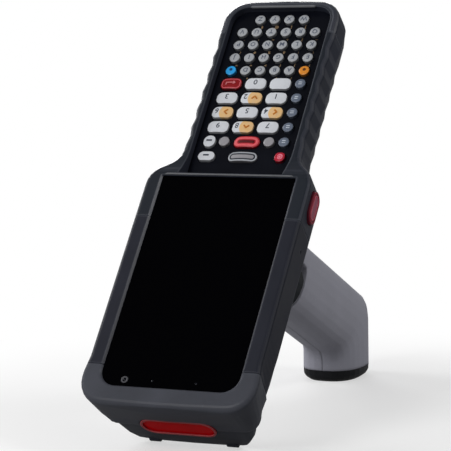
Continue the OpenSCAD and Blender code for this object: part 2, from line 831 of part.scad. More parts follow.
// ---- grip ---------------------------------------------------------------------------------------

bracket_r = 9;
bracket_boss_h = 6;
bracket_boss_r = 3.2;
bracket_hole = 7;
bracket_sink = 1.8;

module at_bracket_screws() {
    for (x = [-1, 1]) for (y = [-1, 1])
        translate([x * bracket_screw_x, -grip_at + y * bracket_screw_y, 0]) children();
}

module bracket_holes(r) {
    at_bracket_screws() translate([0, 0, back_z - over]) cylinder(h = bracket_hole + over, r = r);
}

module grip_bracket() color("#33343d") stand() difference() {
    translate([0, -grip_at, back_z - bracket_t]) linear_extrude(bracket_t)
        pad(bracket_w, bracket_l, bracket_r);
    at_bracket_screws() {
        translate([0, 0, back_z - bracket_t - over]) cylinder(h = bracket_t + 2 * over, r = screw_r + fit);
        translate([0, 0, back_z - bracket_t - over])
            cylinder(h = bracket_sink + over, r = screw_head_r + head_play);
    }
}

module grip_screws() color("#5b5d63") stand() at_bracket_screws()
    translate([0, 0, back_z - bracket_t + bracket_sink]) screw(bracket_t - bracket_sink + bracket_hole - gap);

// Section of the grip: a rounded box of width w and depth d, as points (x, u) with u to the back
function grip_section(w, d, n = 28) = [for (i = [0:n - 1]) let (a = 360 * i / n)
    [w / 2 * sign(cos(a)) * pow(abs(cos(a)), 0.8), d / 2 * sign(sin(a)) * pow(abs(sin(a)), 0.8)]];

// A ring of the grip between a point of its front line and a point of its back line
function grip_ring(f, b, w) = let (m = (f + b) / 2, e = (b - f) / 2, d = 2 * norm(e))
    [for (p = grip_section(w, d)) [p[0], m[0] + e[0] * 2 * p[1] / d, m[1] + e[1] * 2 * p[1] / d]];

// Place along the corner of the front (s = -1) or back (s = 1) line of the grip, t from 0 to 1
function corner(s, r, t) = let (
    start = elbow + elbow_n * s * elbow_reach - rake_a * r * tan(bend / 2),
    a = grip_rake - bend * t)
    start - rake_b * r + [cos(a), sin(a)] * r;

top_flare = [[3, 6, 12], [8, 3.4, 7], [13, 1, 2]];
bend_steps = 8;
shell_seam = 0.1;

function grip_rings(to) = concat(
    [for (f = top_flare) let (m = grip_root + rake_a * f[0], h = (grip_d + f[2]) / 2)
        grip_ring(m - rake_b * h, m + rake_b * h, grip_w + f[1])],
    [for (v = [trigger_v1 - 1, 60, 95]) let (m = grip_root + rake_a * v)
        grip_ring(m - rake_b * grip_d / 2, m + rake_b * grip_d / 2, grip_w)],
    [for (i = [0:bend_steps]) grip_ring(
        corner(-1, elbow_r_front, i / bend_steps), corner(1, elbow_r_back, i / bend_steps), grip_w)],
    [let (m = elbow + down * to) grip_ring(m - level * grip_d / 2, m + level * grip_d / 2, grip_w)]);

module grip_skin(to) {
    loft_rings(grip_rings(to));
}

// A closed skin through plain rings
module loft_rings(rings) {
    n = len(rings[0]);
    last = len(rings) - 1;
    side = [for (k = [0:last - 1]) for (i = [0:n - 1]) let (j = (i + 1) % n)
        for (t = [[k * n + i, k * n + j, (k + 1) * n + j], [k * n + i, (k + 1) * n + j, (k + 1) * n + i]]) t];
    polyhedron([for (r = rings) for (p = r) p],
        concat(side, [[for (i = [n - 1:-1:0]) i]], [[for (i = [0:n - 1]) last * n + i]]));
}

// Places children drawn in the grip's side plane: u forward, v down the grip, w across
module in_grip() {
    multmatrix([
        [0, 0, 1, 0],
        [-rake_b[0], rake_a[0], 0, grip_root[0]],
        [-rake_b[1], rake_a[1], 0, grip_root[1]],
        [0, 0, 0, 1]]) children();
}

// Side view of the trigger and of the room it swings in
trigger_side = [
    [grip_d, trigger_v1], [7, trigger_v1], [2, trigger_v1 + 2], [-0.5, trigger_v1 + 7],
    [0.5, trigger_v2 - 4], [3.5, trigger_v2], [grip_d, trigger_v2]];

module trigger_room() {
    in_grip() linear_extrude(2 * grip_w, center = true) polygon([
        [grip_d, trigger_v1 - 1.2], [6.6, trigger_v1 - 1.2], [1, trigger_v1 + 1.4], [-1.6, trigger_v1 + 7],
        [-4.6, trigger_v2 - 5], [-3.5, trigger_v2 + 1], [0, trigger_v2 + 1.8], [grip_d, trigger_v2 + 1.8]]);
}

// The core of the grip that the trigger straddles
module grip_core() {
    in_grip() linear_extrude(core_w, center = true) polygon([
        [core_u + core_lug, trigger_v1 - 2], [-6, trigger_v1 - 2], [-6, trigger_v2 + 3],
        [core_u, trigger_v2 + 3], [core_u, pin_v + 2.8 + lug_slope], [core_u + core_lug, pin_v + 2.8]]);
}

spring_v = trigger_v2 - 7;
spring_r = 2.4;
spring_wire = 0.35;
spring_from = 4;
spring_to = grip_d / 2 - trigger_skin - fit;

module spring_bore() {
    in_grip() translate([spring_from, spring_v, 0]) rotate([0, 90, 0])
        cylinder(h = 2 * grip_d, r = spring_r + spring_wire + gap);
}

module pin_bore(r) {
    in_grip() translate([pin_u, pin_v, 0]) cylinder(h = 2 * grip_w, r = r, center = true);
}

module switch_room(t) {
    in_grip() translate([core_u - switch_d - t, switch_v - switch_h / 2 - t, -switch_w / 2 - t])
        cube([switch_d + t - (t > 0 ? 0 : gap), switch_h + 2 * t, switch_w + 2 * t]);
}

module grip_shell(s) {
    color("#74747e") stand() difference() {
        union() {
            difference() {
                intersection() {
                    grip_skin(leg_l - foot_t);
                    slab(-big, big, -big, back_z - bracket_t - fit);
                }
                trigger_room();
            }
            grip_core();
        }
        translate([s * (shell_seam / 2 - big), 0, 0]) cube(2 * big, center = true);
        pin_bore(pin_r);
        spring_bore();
        switch_room(switch_play);
    }
}

module grip_shell_left() { grip_shell(-1); }
module grip_shell_right() { grip_shell(1); }

// Black cap on the end of the grip, square to the ground
module grip_foot() color("#15161a") stand() {
    // each ring: how far down the leg, and how far it is drawn in
    steps = [[leg_l - foot_t + fit, 0], [leg_l - foot_t / 2, 0.2], [leg_l - 1.4, 1.2], [leg_l, 3.2]];
    rings = [for (p = steps)
        let (m = elbow + down * p[0], h = grip_d / 2 - p[1])
        grip_ring(m - level * h, m + level * h, grip_w - 2 * p[1])];
    loft_rings(rings);
}

module trigger() color("#23242c") stand() {
    trigger_shell();
    // rib that works the switch
    in_grip() translate([button_u + rib_play, switch_v - 1.5, -2])
        cube([grip_d / 2 - trigger_skin - button_u - rib_play + joint, 3, 4]);
}

rib_play = 1.4;

module trigger_shell() difference() {
    intersection() {
        in_grip() translate([0, trigger_v2 + over, 0]) rotate([90, 0, 0]) linear_extrude(trigger_v2)
            polygon([for (p = grip_section(grip_w, grip_d)) [p[1], p[0]]]);
        in_grip() linear_extrude(2 * grip_w, center = true) polygon(trigger_side);
    }
    // channel that straddles the core, following the front of the grip at trigger_skin
    in_grip() translate([0, trigger_v2 + over, 0]) rotate([90, 0, 0]) linear_extrude(trigger_v2 + over) {
        polygon([for (p = grip_section(channel_w, channel_d)) [p[1], -p[0]]]);
        translate([-grip_d, -channel_w / 2]) square([grip_d, channel_w]);
    }
    // hollow for the finger
    in_grip() translate([grip_d / 2 + finger_r - finger_deep, (trigger_v1 + trigger_v2) / 2 + 2, 0])
        cylinder(h = 2 * grip_w, r = finger_r, center = true, $fn = 96);
    pin_bore(pin_r + pin_fit);
}

module trigger_pin() color("#8d9096") stand() in_grip() {
    translate([pin_u, pin_v, 0]) cylinder(h = pin_l, r = pin_r, center = true);
}

pin_l = core_w + 1.1 * trigger_skin * 2;
spring_turns = 6;
spring_rings = 60;
module trigger_spring() color("#9a9da3") stand() in_grip() {
    l = spring_to - spring_from - 2 * spring_wire - 2 * fit;
    rings = [for (k = [0:spring_rings]) let (a = 360 * spring_turns * k / spring_rings)
        [for (b = [0:60:300]) let (r = spring_r + spring_wire * cos(b),
            u = spring_from + spring_wire + fit + l * k / spring_rings + spring_wire * sin(b))
            [u, spring_v + r * cos(a), r * sin(a)]]];
    loft_rings(rings);
}

module trigger_switch() color("#101114") stand() union() {
    switch_room(0);
    // its button, which stands out of the core
    in_grip() translate([core_u - 1, switch_v - 1, -1.5]) cube([button_out + 1, 2, 3]);
}

// ---- keys ---------------------------------------------------------------------------------------

function row_y(i) = row_a + number_row * i;
function letter_y(j) = row_y(5) + letter_row * j;
function wide_x(i) = wide_x0 + wide_pitch * i;

// Each key: [name, x, y, width, length, corner radius]
function wide_key(name, col, row) = [name, wide_x(col), row_y(row), wide_w, wide_l, 2.4];
function round_key(name, x, y) = [name, x, y, round_d, round_d, round_d / 2 - eps];
single_keys = [
    wide_key("key_enter", 0, 5), wide_key("key_0", 1, 5), wide_key("key_point", 2, 5),
    wide_key("key_3", 0, 4), wide_key("key_2", 1, 4), wide_key("key_1", 2, 4),
    wide_key("key_6", 0, 3), wide_key("key_5", 1, 3), wide_key("key_4", 2, 3),
    wide_key("key_9", 0, 2), wide_key("key_8", 1, 2), wide_key("key_7", 2, 2),
    round_key("key_side_1", column_x, row_y(5)), round_key("key_side_2", column_x, row_y(4)),
    round_key("key_side_3", column_x, row_y(3)), round_key("key_side_4", column_x, row_y(2)),
    ["key_back", -column_x, row_y(1), 5.8, 6.4, 2.7], round_key("key_send", -column_x * 0.6, row_y(1)),
    ["key_scan", 0, row_y(1), 13.2, 6.2, 3], round_key("key_end", column_x * 0.6, row_y(1)),
    round_key("key_tab", column_x, row_y(1)),
    ["key_menu", -column_x + 0.6, row_y(0), 8.4, 5, 2.4], ["key_home", 0, row_y(0), 14.6, 5, 2.4],
    ["key_power", column_x, row_y(0), 5, 5, 2],
    round_key("key_blue", -column_x, letter_y(1)), round_key("key_orange", column_x, letter_y(1))];
letter_counts = [4, 6, 6, 6, 4];
function letters(j) = [for (i = [0:letter_counts[j - 1] - 1])
    round_key("letter", key_pitch * (i - (letter_counts[j - 1] - 1) / 2), letter_y(j))];
all_keys = concat(single_keys, [for (j = [1:5]) for (k = letters(j)) k]);

// A key: a crowned cap through the face plate, and a flange that keeps it in
crown_r = 24;
flange_w = 0.6;
module key_cap(k) {
    top = face_z + key_up;
    translate([k[1], k[2], 0]) {
        intersection() {
            translate([0, 0, flange_z - joint]) linear_extrude(top - flange_z + joint) pad(k[3], k[4], k[5]);
            translate([0, 0, top - crown_r]) sphere(crown_r, $fn = 96);
        }
        translate([0, 0, flange_z - flange_t]) linear_extrude(flange_t)
            pad(k[3] + 2 * flange_w, k[4] + 2 * flange_w, k[5] + flange_w - eps);
    }
}

function key_named(name) = [for (k = single_keys) if (k[0] == name) k][0];

module key(name, tint) {
    color(tint) stand() key_cap(key_named(name));
}

module letter_keys(j) {
    color("#b3b6ba") stand() for (k = letters(j)) key_cap(k);
}

module keypad_face() color("#0c0d11") stand() difference() {
    translate([0, 0, face_z - face_t]) linear_extrude(face_t) face_plan();
    for (k = all_keys) translate([k[1], k[2], face_z - face_t - over])
        linear_extrude(face_t + 2 * over) pad(k[3] + 2 * gap, k[4] + 2 * gap, k[5] + gap - eps);
}

white = "#dde0e4";
grey = "#a9adb3";
steel = "#8c97a3";

// ---- output -------------------------------------------------------------------------------------

front_housing();
keypad_face();
rear_housing();
nose_bumper();
side_rails();
tail_bumper();
touch_glass();
display_module();
main_board();
keypad_mat();
keypad_board();
scan_window();
window_bezel();
scan_engine();
battery_pack();
battery_latch();
side_button_left();
side_button_right();
dock_contacts();
case_screws();
grip_shell_left();
grip_shell_right();
grip_foot();
trigger();
trigger_pin();
trigger_spring();
trigger_switch();
grip_bracket();
grip_screws();
key("key_0", white);  // key_0
key("key_1", white);  // key_1
key("key_2", white);  // key_2
key("key_3", white);  // key_3
key("key_4", white);  // key_4
key("key_5", white);  // key_5
key("key_6", white);  // key_6
key("key_7", white);  // key_7
key("key_8", white);  // key_8
key("key_9", white);  // key_9
key("key_point", white);  // key_point
key("key_enter", "#82141e");  // key_enter
key("key_scan", "#c82832");  // key_scan
key("key_home", grey);  // key_home
key("key_menu", white);  // key_menu
key("key_back", white);  // key_back
key("key_send", grey);  // key_send
key("key_end", grey);  // key_end
key("key_tab", steel);  // key_tab
key("key_power", "#d8485a");  // key_power
key("key_blue", "#3296dc");  // key_blue
key("key_orange", "#eb9632");  // key_orange
key("key_side_1", steel);  // key_side_1
key("key_side_2", steel);  // key_side_2
key("key_side_3", steel);  // key_side_3
key("key_side_4", steel);  // key_side_4
letter_keys(1);  // letters_row_1
letter_keys(2);  // letters_row_2
letter_keys(3);  // letters_row_3
letter_keys(4);  // letters_row_4
letter_keys(5);  // letters_row_5
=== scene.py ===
"""Finishes, key legends, prints and stage of a handheld barcode data terminal.

Lengths in the tables are millimetres in the terminal's own frame: X across, Y towards the keypad end,
Z out of the glass, with the keypad end of the glass at y = 0 and its face at z = 0.
"""

import json

import bmesh
import bpy
import numpy as np
from mathutils import Matrix, Vector


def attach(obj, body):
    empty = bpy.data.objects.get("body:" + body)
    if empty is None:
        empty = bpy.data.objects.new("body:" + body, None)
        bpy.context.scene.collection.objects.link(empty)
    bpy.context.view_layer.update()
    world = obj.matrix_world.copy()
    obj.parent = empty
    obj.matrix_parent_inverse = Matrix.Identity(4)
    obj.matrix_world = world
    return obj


bl_info = {
    "name": "Barcode data terminal",
    "version": (1, 0, 0),
    "blender": (4, 5, 0),
    "location": "3D View > Sidebar > Terminal",
    "description": "Finishes and printed marks of a handheld barcode data terminal",
    "category": "Object",
}

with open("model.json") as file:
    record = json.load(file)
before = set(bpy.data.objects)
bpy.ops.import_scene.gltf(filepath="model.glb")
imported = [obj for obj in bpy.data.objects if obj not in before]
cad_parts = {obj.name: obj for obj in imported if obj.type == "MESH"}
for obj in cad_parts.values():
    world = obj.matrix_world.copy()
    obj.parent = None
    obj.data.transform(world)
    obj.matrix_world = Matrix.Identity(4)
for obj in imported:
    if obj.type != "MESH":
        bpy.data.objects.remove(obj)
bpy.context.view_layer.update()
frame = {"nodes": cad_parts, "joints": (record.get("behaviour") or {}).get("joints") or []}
NODES = frame["nodes"]
MM = 0.001


# ---- the terminal's own frame

def points_of(node):
    mesh = NODES[node].data
    co = np.empty(len(mesh.vertices) * 3)
    mesh.vertices.foreach_get("co", co)
    return co.reshape(-1, 3)


OUT = -np.array(next(j for j in frame["joints"] if j["name"] == "key_0_press")["axis"], float)
ACROSS = np.array((1.0, 0.0, 0.0))
ALONG = np.cross(OUT, ACROSS)
AXES = np.array((ACROSS, ALONG, OUT))
ORIGIN = ALONG * (points_of("touch_glass") @ ALONG).max() + OUT * (points_of("touch_glass") @ OUT).max()


def place(points):
    """Points of the terminal's own frame in mm, as points of the shared frame in metres."""
    return ORIGIN + np.asarray(points, float) * MM @ AXES


def extent(node):
    """Lowest and highest corner of a node in the terminal's own frame, in mm."""
    own = (points_of(node) - ORIGIN) @ AXES.T / MM
    return own.min(0), own.max(0)


# ---- sizes and colours that a user would change

def linear(r, g, b):
    """A colour given as 0 to 255 screen values, as linear light."""
    c = np.array((r, g, b)) / 255
    return tuple(float(v) for v in np.where(c <= 0.04045, c / 12.92, ((c + 0.055) / 1.055) ** 2.4))


def colour(name, rgb, text):
    return bpy.props.FloatVectorProperty(
        name=name, description=text, subtype="COLOR", size=3, min=0, max=1, default=linear(*rgb))


def length(name, metres, text):
    return bpy.props.FloatProperty(name=name, description=text, unit="LENGTH", default=metres, min=0)


class TerminalColours(bpy.types.PropertyGroup):
    """Colours of the mouldings, keys and prints."""
    case: colour("Case", (48, 51, 62), "Front and back mouldings")
    # painted shade: the front moulding darker where it faces out, as it mirrors little light
    rim: colour("Rim", (30, 35, 44), "Front moulding where it faces out")
    bumper: colour("Bumper", (70, 72, 80), "Soft nose and tail bumpers")
    rail: colour("Rails", (32, 34, 45), "Rails beside the glass")
    face: colour("Key plate", (12, 14, 22), "Plate that the keys come through")
    glass: colour("Glass", (3, 3, 5), "Touch glass")
    window: colour("Scan window", (222, 0, 10), "Filter of the scan window")
    bezel: colour("Window bezel", (150, 16, 26), "Frame of the scan window")
    button: colour("Side button", (112, 26, 46), "Buttons on the sides of the case")
    grip: colour("Grip", (174, 174, 186), "Shells of the pistol grip")
    foot: colour("Foot", (22, 23, 27), "Cap on the end of the grip")
    trigger: colour("Trigger", (20, 24, 30), "Trigger")
    white_key: colour("White keys", (226, 229, 235), "Number keys")
    letter_key: colour("Letter keys", (178, 181, 186), "Letter keys")
    grey_key: colour("Grey keys", (160, 158, 163), "Grey keys beside the scan key")
    steel_key: colour("Column keys", (106, 116, 134), "Small keys of the side column")
    scan_key: colour("Scan key", (184, 18, 36), "Scan key on the keypad")
    enter_key: colour("Enter key", (150, 6, 16), "Enter key")
    power_key: colour("Power key", (196, 26, 54), "Power key")
    blue_key: colour("Blue key", (42, 172, 246), "Blue shift key")
    orange_key: colour("Orange key", (238, 150, 48), "Orange shift key")
    patch: colour("Orange print", (246, 198, 128), "Printed areas on four number keys")
    ink: colour("Ink", (58, 64, 78), "Digits and letters")


class TerminalSizes(bpy.types.PropertyGroup):
    """Sizes of legends, prints and surface grain."""
    digit: length("Digit height", 0.0030, "Height of the digits on the number keys")
    letter: length("Letter height", 0.0024, "Height of the letters")
    hint: length("Hint height", 0.0015, "Height of the small signs on the key plate")
    lift: length("Print lift", 0.00004, "Height of a print above the key")
    ring: length("Ring width", 0.0007, "Width of the rings on the keys")
    soft_edge: length("Soft edge", 0.0005, "Radius by which the light rounds moulded edges")
    grain: length("Grain depth", 0.00004, "Depth of the moulded grain")


def colours():
    return bpy.context.scene.terminal_colours


def sizes():
    return bpy.context.scene.terminal_sizes


# ---- meshes

def grid_faces(rows, cols, closed=False, looped=False):
    """Faces of a grid of points, row after row.

    A closed grid joins its last column to its first, and a looped one its last row to its first.
    """
    r, c = np.meshgrid(np.arange(rows if looped else rows - 1), np.arange(cols if closed else cols - 1),
                       indexing="ij")
    s, d = (r + 1) % rows, (c + 1) % cols
    return np.stack((r * cols + c, r * cols + d, s * cols + d, s * cols + c), -1).reshape(-1, 4)


def joined(parts):
    """Several (points, faces) as one."""
    points, faces, start = [], [], 0
    for p, f in parts:
        points.append(p)
        faces.extend([[int(i) + start for i in face] for face in f])
        start += len(p)
    return np.concatenate(points), faces


def add_object(name, points, faces, finish):
    """A smooth mesh object in the scene, from points in metres."""
    mesh = bpy.data.meshes.new(name)
    mesh.from_pydata(points.tolist(), [], faces)
    mesh.polygons.foreach_set("use_smooth", [True] * len(mesh.polygons))
    mesh.materials.append(finish)
    made = bpy.data.objects.new(name, mesh)
    bpy.context.scene.collection.objects.link(made)
    return made


def add_piece(name, parts, finish, body, thick=0.0):
    """A new piece from parts in the terminal's own frame; a print gets a thickness into what it is on."""
    points, faces = joined(parts)
    piece = add_object(name, place(points), faces, finish)
    if thick:
        wall = piece.modifiers.new("wall", "SOLIDIFY")
        wall.thickness = thick
        wall.offset = -1
    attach(piece, body)


def add_print(name, parts, finish, key=None):
    """A thin piece that moves with a key's node, or stays with the case where none is given."""
    add_piece(name, parts, finish, key + "_body" if key else "terminal", PRINT_WALL)


CROWN_R = 24.0  # radius of a key cap's crowned top
KEY_FLANGE = 0.6  # width of the flange round a key cap's foot
PRINT_WALL = 0.00015  # thickness of a print in metres, from its face inwards
FLAT_LIFT = 0.03  # height of a print above a flat face
PRINT_EDGE = -1.7  # from the middle of an arrow key to the round edge of its printed area
PRINT_R = 5.2  # radius of that edge
PRINT_BLUR = 0.25  # width over which it fades
RING_STEPS = 64  # points round a ring on a key
LEAST_CORNER = 0.2  # least corner radius of a ring's lines
PAD_STEPS = 48  # points round a pad
PAD_RINGS = 6  # outlines from the edge of a pad to its middle
PAD_CORE = 0.06  # size of the last of them, as a share of the pad
FONT_SCALE = 1.38  # size of the built-in font over the height of its digits, about
INK_SPREAD = 0.04  # how far the ink thickens the font's strokes
LONG_EDGE = 0.5  # length past which an edge of a letter is cut


class Key:
    """Node, centre, size and crowned top of a key cap.

    A node with a row of count keys has square ones at one spacing, and index picks one of them.
    """

    def __init__(self, node, index=0, count=1):
        low, high = extent(node)
        self.node = node
        self.length = high[1] - low[1] - 2 * KEY_FLANGE
        if count > 1:
            self.width = self.length
            step = (high[0] - low[0] - self.width - 2 * KEY_FLANGE) / (count - 1)
            self.x = low[0] + KEY_FLANGE + self.width / 2 + step * index
        else:
            self.width = high[0] - low[0] - 2 * KEY_FLANGE
            self.x = (low[0] + high[0]) / 2
        self.y = (low[1] + high[1]) / 2
        self.top = high[2]

    def on_crown(self, dx, dy, lift):
        """Points at dx, dy from the middle of the key, on the sphere of its crown and lift above it."""
        r = CROWN_R + lift
        z = self.top - CROWN_R + np.sqrt(r * r - dx * dx - dy * dy)
        return np.stack((self.x + dx, self.y + dy, z), -1)


def round_box(t, w, l, r):
    """Outline of a rectangle w by l with corner radius r, at t from 0 to 1 anticlockwise by length.

    The centre of a circle of radius r slides along the sides of a smaller rectangle and stands still
    in its corners, where the point turns a quarter of the circle.
    """
    a, b, quarter = w - 2 * r, l - 2 * r, np.pi / 2 * r
    knots = np.cumsum((0, quarter, a, quarter, b, quarter, a, quarter, b))
    at = t * knots[-1]
    turn = np.interp(at, knots, np.pi / 2 * np.array((0, 1, 1, 2, 2, 3, 3, 4, 4)))
    x = np.interp(at, knots, a / 2 * np.array((1, 1, -1, -1, -1, -1, 1, 1, 1)))
    y = np.interp(at, knots, b / 2 * np.array((1, 1, 1, 1, -1, -1, -1, -1, 1)))
    return x + r * np.cos(turn), y + r * np.sin(turn)


def steps(count):
    """Values of t for count points evenly round an outline."""
    return (np.arange(count) + 0.5) / count


def ring_on(key, w, l, r, near, far, lift):
    """Band between two rounded rectangles, near and far mm inside w by l, laid on the crown.

    One parameter runs round the outline, the other from the outer line to the inner one.
    """
    t = steps(RING_STEPS)
    rows = []
    for inset in np.linspace(near, far, 3):
        x, y = round_box(t, w - 2 * inset, l - 2 * inset, max(r - inset, LEAST_CORNER))
        rows.append(key.on_crown(x, y, lift))
    return np.concatenate(rows), grid_faces(len(rows), len(t), True)


def edge_ring(key, r, near, far, lift):
    """Band near to far mm inside the edge of a key with corner radius r."""
    return ring_on(key, key.width, key.length, r, near, far, lift)


def pad_on(key, w, l, r, lift, dx=0.0, dy=0.0):
    """Rounded rectangle w by l laid on the crown: its outline shrunk in steps to the middle."""
    x, y = round_box(steps(PAD_STEPS), w, l, r)
    rows = [key.on_crown(dx + x * s, dy + y * s, lift) for s in np.linspace(1, PAD_CORE, PAD_RINGS)]
    middle = key.on_crown(np.array([dx]), np.array([dy]), lift)
    last = (PAD_RINGS - 1) * PAD_STEPS
    fan = [(last + i, last + (i + 1) % PAD_STEPS, last + PAD_STEPS) for i in range(PAD_STEPS)]
    return np.concatenate(rows + [middle]), list(grid_faces(PAD_RINGS, PAD_STEPS, True)) + fan


def stroke_on(key, path, width, lift):
    """A drawn line of the given width along a path of (dx, dy) points, laid on the crown."""
    path = np.array(path, float)
    step = np.gradient(path, axis=0)
    side = np.stack((-step[:, 1], step[:, 0]), -1)
    side /= np.linalg.norm(side, axis=1)[:, None]
    rows = [key.on_crown(*(path + side * s * width / 2).T, lift) for s in (1, 0, -1)]
    return np.concatenate(rows), grid_faces(3, len(path))


def glyph(text, height):
    """Flat letters of the built-in font, centred, as (points, faces).

    Long edges are cut in three, so that the letters can bend with the crown of a key.
    """
    curve = bpy.data.curves.new("glyph", "FONT")
    curve.body = text
    curve.size = height / MM * FONT_SCALE
    curve.align_x = "CENTER"
    curve.align_y = "CENTER"
    curve.offset = INK_SPREAD
    curve.resolution_u = 4
    holder = bpy.data.objects.new("glyph", curve)
    bpy.context.scene.collection.objects.link(holder)
    mesh = bpy.data.meshes.new_from_object(holder.evaluated_get(bpy.context.evaluated_depsgraph_get()))
    shape = bmesh.new()
    shape.from_mesh(mesh)
    bmesh.ops.remove_doubles(shape, verts=shape.verts, dist=1e-4)
    bmesh.ops.triangulate(shape, faces=shape.faces)
    long_edges = [e for e in shape.edges if e.calc_length() > LONG_EDGE]
    bmesh.ops.subdivide_edges(shape, edges=long_edges, cuts=2)
    bmesh.ops.triangulate(shape, faces=shape.faces)
    shape.verts.ensure_lookup_table()
    points = np.array([v.co[:2] for v in shape.verts])
    faces = [[v.index for v in f.verts] for f in shape.faces]
    shape.free()
    bpy.data.objects.remove(holder)
    bpy.data.curves.remove(curve)
    bpy.data.meshes.remove(mesh)
    middle = (points.min(0) + points.max(0)) / 2
    return points - middle, faces


def legend_on(key, text, height, lift, dx=0.0, dy=0.0):
    """A legend on the crown, with its top towards the nose, so it reads with the display above the keys."""
    points, faces = glyph(text, height)
    return key.on_crown(dx - points[:, 0], dy - points[:, 1], lift), faces


# ---- materials

class Shader:
    """A material's node tree with short ways to add and join nodes."""

    def __init__(self, name):
        self.material = bpy.data.materials.new(name)
        self.material.use_nodes = True
        self.tree = self.material.node_tree
        self.bsdf = self.tree.nodes["Principled BSDF"]

    def node(self, kind, **settings):
        made = self.tree.nodes.new(kind)
        for key, value in settings.items():
            if key in made.inputs:
                made.inputs[key].default_value = value
            else:
                setattr(made, key, value)
        return made

    def link(self, source, target):
        self.tree.links.new(source, target)

    def mix(self, mask, a, b):
        """A colour between a and b by a mask; a and b are colours or sockets."""
        made = self.node("ShaderNodeMix", data_type="RGBA")
        self.link(mask, made.inputs[0])
        for socket, value in ((made.inputs[6], a), (made.inputs[7], b)):
            if isinstance(value, bpy.types.NodeSocket):
                self.link(value, socket)
            else:
                socket.default_value = (*value, 1)
        return made.outputs[2]

    def map(self, value, low, high, start=0.0, end=1.0, smooth=False):
        made = self.node("ShaderNodeMapRange", interpolation_type="SMOOTHSTEP" if smooth else "LINEAR",
                         **{"From Min": low, "From Max": high, "To Min": start, "To Max": end})
        self.link(value, made.inputs["Value"])
        return made.outputs["Result"]

    def math(self, operation, a, b):
        made = self.node("ShaderNodeMath", operation=operation)
        self.link(a, made.inputs[0])
        self.link(b, made.inputs[1])
        return made.outputs[0]

    def noise(self, surface, kind, start, end):
        """A noise of the moulded surface, from 0.3 to 0.7 where most of it lies, as start to end."""
        return self.map(surface.outputs[kind], 0.3, 0.7, start, end)

    def level(self, name, value):
        """Sets a plain value of the shader."""
        self.bsdf.inputs[name].default_value = value

    def feed(self, tone, rough, surface=None):
        """Leads a colour, a roughness and the normal of a moulded surface into the shader."""
        self.link(tone, self.bsdf.inputs["Base Color"])
        self.link(rough, self.bsdf.inputs["Roughness"])
        if surface is not None:
            self.link(surface.outputs["Normal"], self.bsdf.inputs["Normal"])


def shades(rgb, factor):
    """A colour made lighter or darker by a factor."""
    return tuple(min(1.0, v * factor) for v in rgb)


def new_group(name, inputs, outputs):
    group = bpy.data.node_groups.new(name, "ShaderNodeTree")
    for label, value in inputs:
        socket = group.interface.new_socket(label, in_out="INPUT", socket_type="NodeSocketFloat")
        socket.default_value = value
    for label, kind in outputs:
        group.interface.new_socket(label, in_out="OUTPUT", socket_type=kind)
    return group, group.nodes.new("NodeGroupInput"), group.nodes.new("NodeGroupOutput")


# cosines of the ridge mask that carries the painted highlights
RIDGE = (0.985, 0.93)


def moulded_group():
    """Surface of a moulded part: a normal with fine grain on rounded edges, a slow mottle, a fine speck,
    and the ridges, where the rounded normal turns away from the flat one between the cosines in RIDGE;
    that ridge mask carries the painted highlights.
    """
    group, given, result = new_group(
        "moulded surface",
        [("Edge", 0.0005), ("Grain Scale", 2500.0), ("Grain Depth", 0.00004), ("Mottle Scale", 60.0)],
        [("Normal", "NodeSocketVector"), ("Mottle", "NodeSocketFloat"), ("Speck", "NodeSocketFloat"),
         ("Ridge", "NodeSocketFloat")])
    link = group.links.new
    flat = group.nodes.new("ShaderNodeNewGeometry")
    turned = group.nodes.new("ShaderNodeVectorMath")
    turned.operation = "DOT_PRODUCT"
    ridge = group.nodes.new("ShaderNodeMapRange")
    ridge.interpolation_type = "SMOOTHSTEP"
    ridge.inputs["From Min"].default_value = RIDGE[0]
    ridge.inputs["From Max"].default_value = RIDGE[1]
    coord = group.nodes.new("ShaderNodeTexCoord")
    edge = group.nodes.new("ShaderNodeBevel")
    edge.samples = 6
    noises = [group.nodes.new("ShaderNodeTexNoise") for _ in range(3)]
    for noise, detail in zip(noises, (3, 4, 2)):
        noise.inputs["Detail"].default_value = detail
        link(coord.outputs["Object"], noise.inputs["Vector"])
    grain, mottle, speck = noises
    speck.inputs["Scale"].default_value = 900
    bump = group.nodes.new("ShaderNodeBump")
    bump.inputs["Strength"].default_value = 0.5
    link(given.outputs["Edge"], edge.inputs["Radius"])
    link(given.outputs["Grain Scale"], grain.inputs["Scale"])
    link(given.outputs["Grain Depth"], bump.inputs["Distance"])
    link(given.outputs["Mottle Scale"], mottle.inputs["Scale"])
    link(grain.outputs["Fac"], bump.inputs["Height"])
    link(edge.outputs["Normal"], bump.inputs["Normal"])
    link(edge.outputs["Normal"], turned.inputs[0])
    link(flat.outputs["True Normal"], turned.inputs[1])
    link(turned.outputs["Value"], ridge.inputs["Value"])
    link(ridge.outputs["Result"], result.inputs["Ridge"])
    link(bump.outputs["Normal"], result.inputs["Normal"])
    link(mottle.outputs["Fac"], result.inputs["Mottle"])
    link(speck.outputs["Fac"], result.inputs["Speck"])
    return group


def facing_group():
    """How far a surface faces the way the glass does, between two cosines: 1 on key tops, 0 on sides."""
    group, given, result = new_group(
        "faces out", [("From", 0.55), ("To", 0.9)], [("Mask", "NodeSocketFloat")])
    link = group.links.new
    coord = group.nodes.new("ShaderNodeTexCoord")
    dot = group.nodes.new("ShaderNodeVectorMath")
    dot.operation = "DOT_PRODUCT"
    dot.inputs[1].default_value = OUT
    step = group.nodes.new("ShaderNodeMapRange")
    step.interpolation_type = "SMOOTHSTEP"
    link(coord.outputs["Normal"], dot.inputs[0])
    link(dot.outputs["Value"], step.inputs["Value"])
    link(given.outputs["From"], step.inputs["From Min"])
    link(given.outputs["To"], step.inputs["From Max"])
    link(step.outputs["Result"], result.inputs["Mask"])
    return group


GROUPS = {}


def use_group(shader, name, **values):
    if name not in GROUPS:
        GROUPS[name] = {"moulded": moulded_group, "faces out": facing_group}[name]()
    made = shader.node("ShaderNodeGroup", node_tree=GROUPS[name])
    for key, value in values.items():
        made.inputs[key.replace("_", " ").title()].default_value = value
    return made


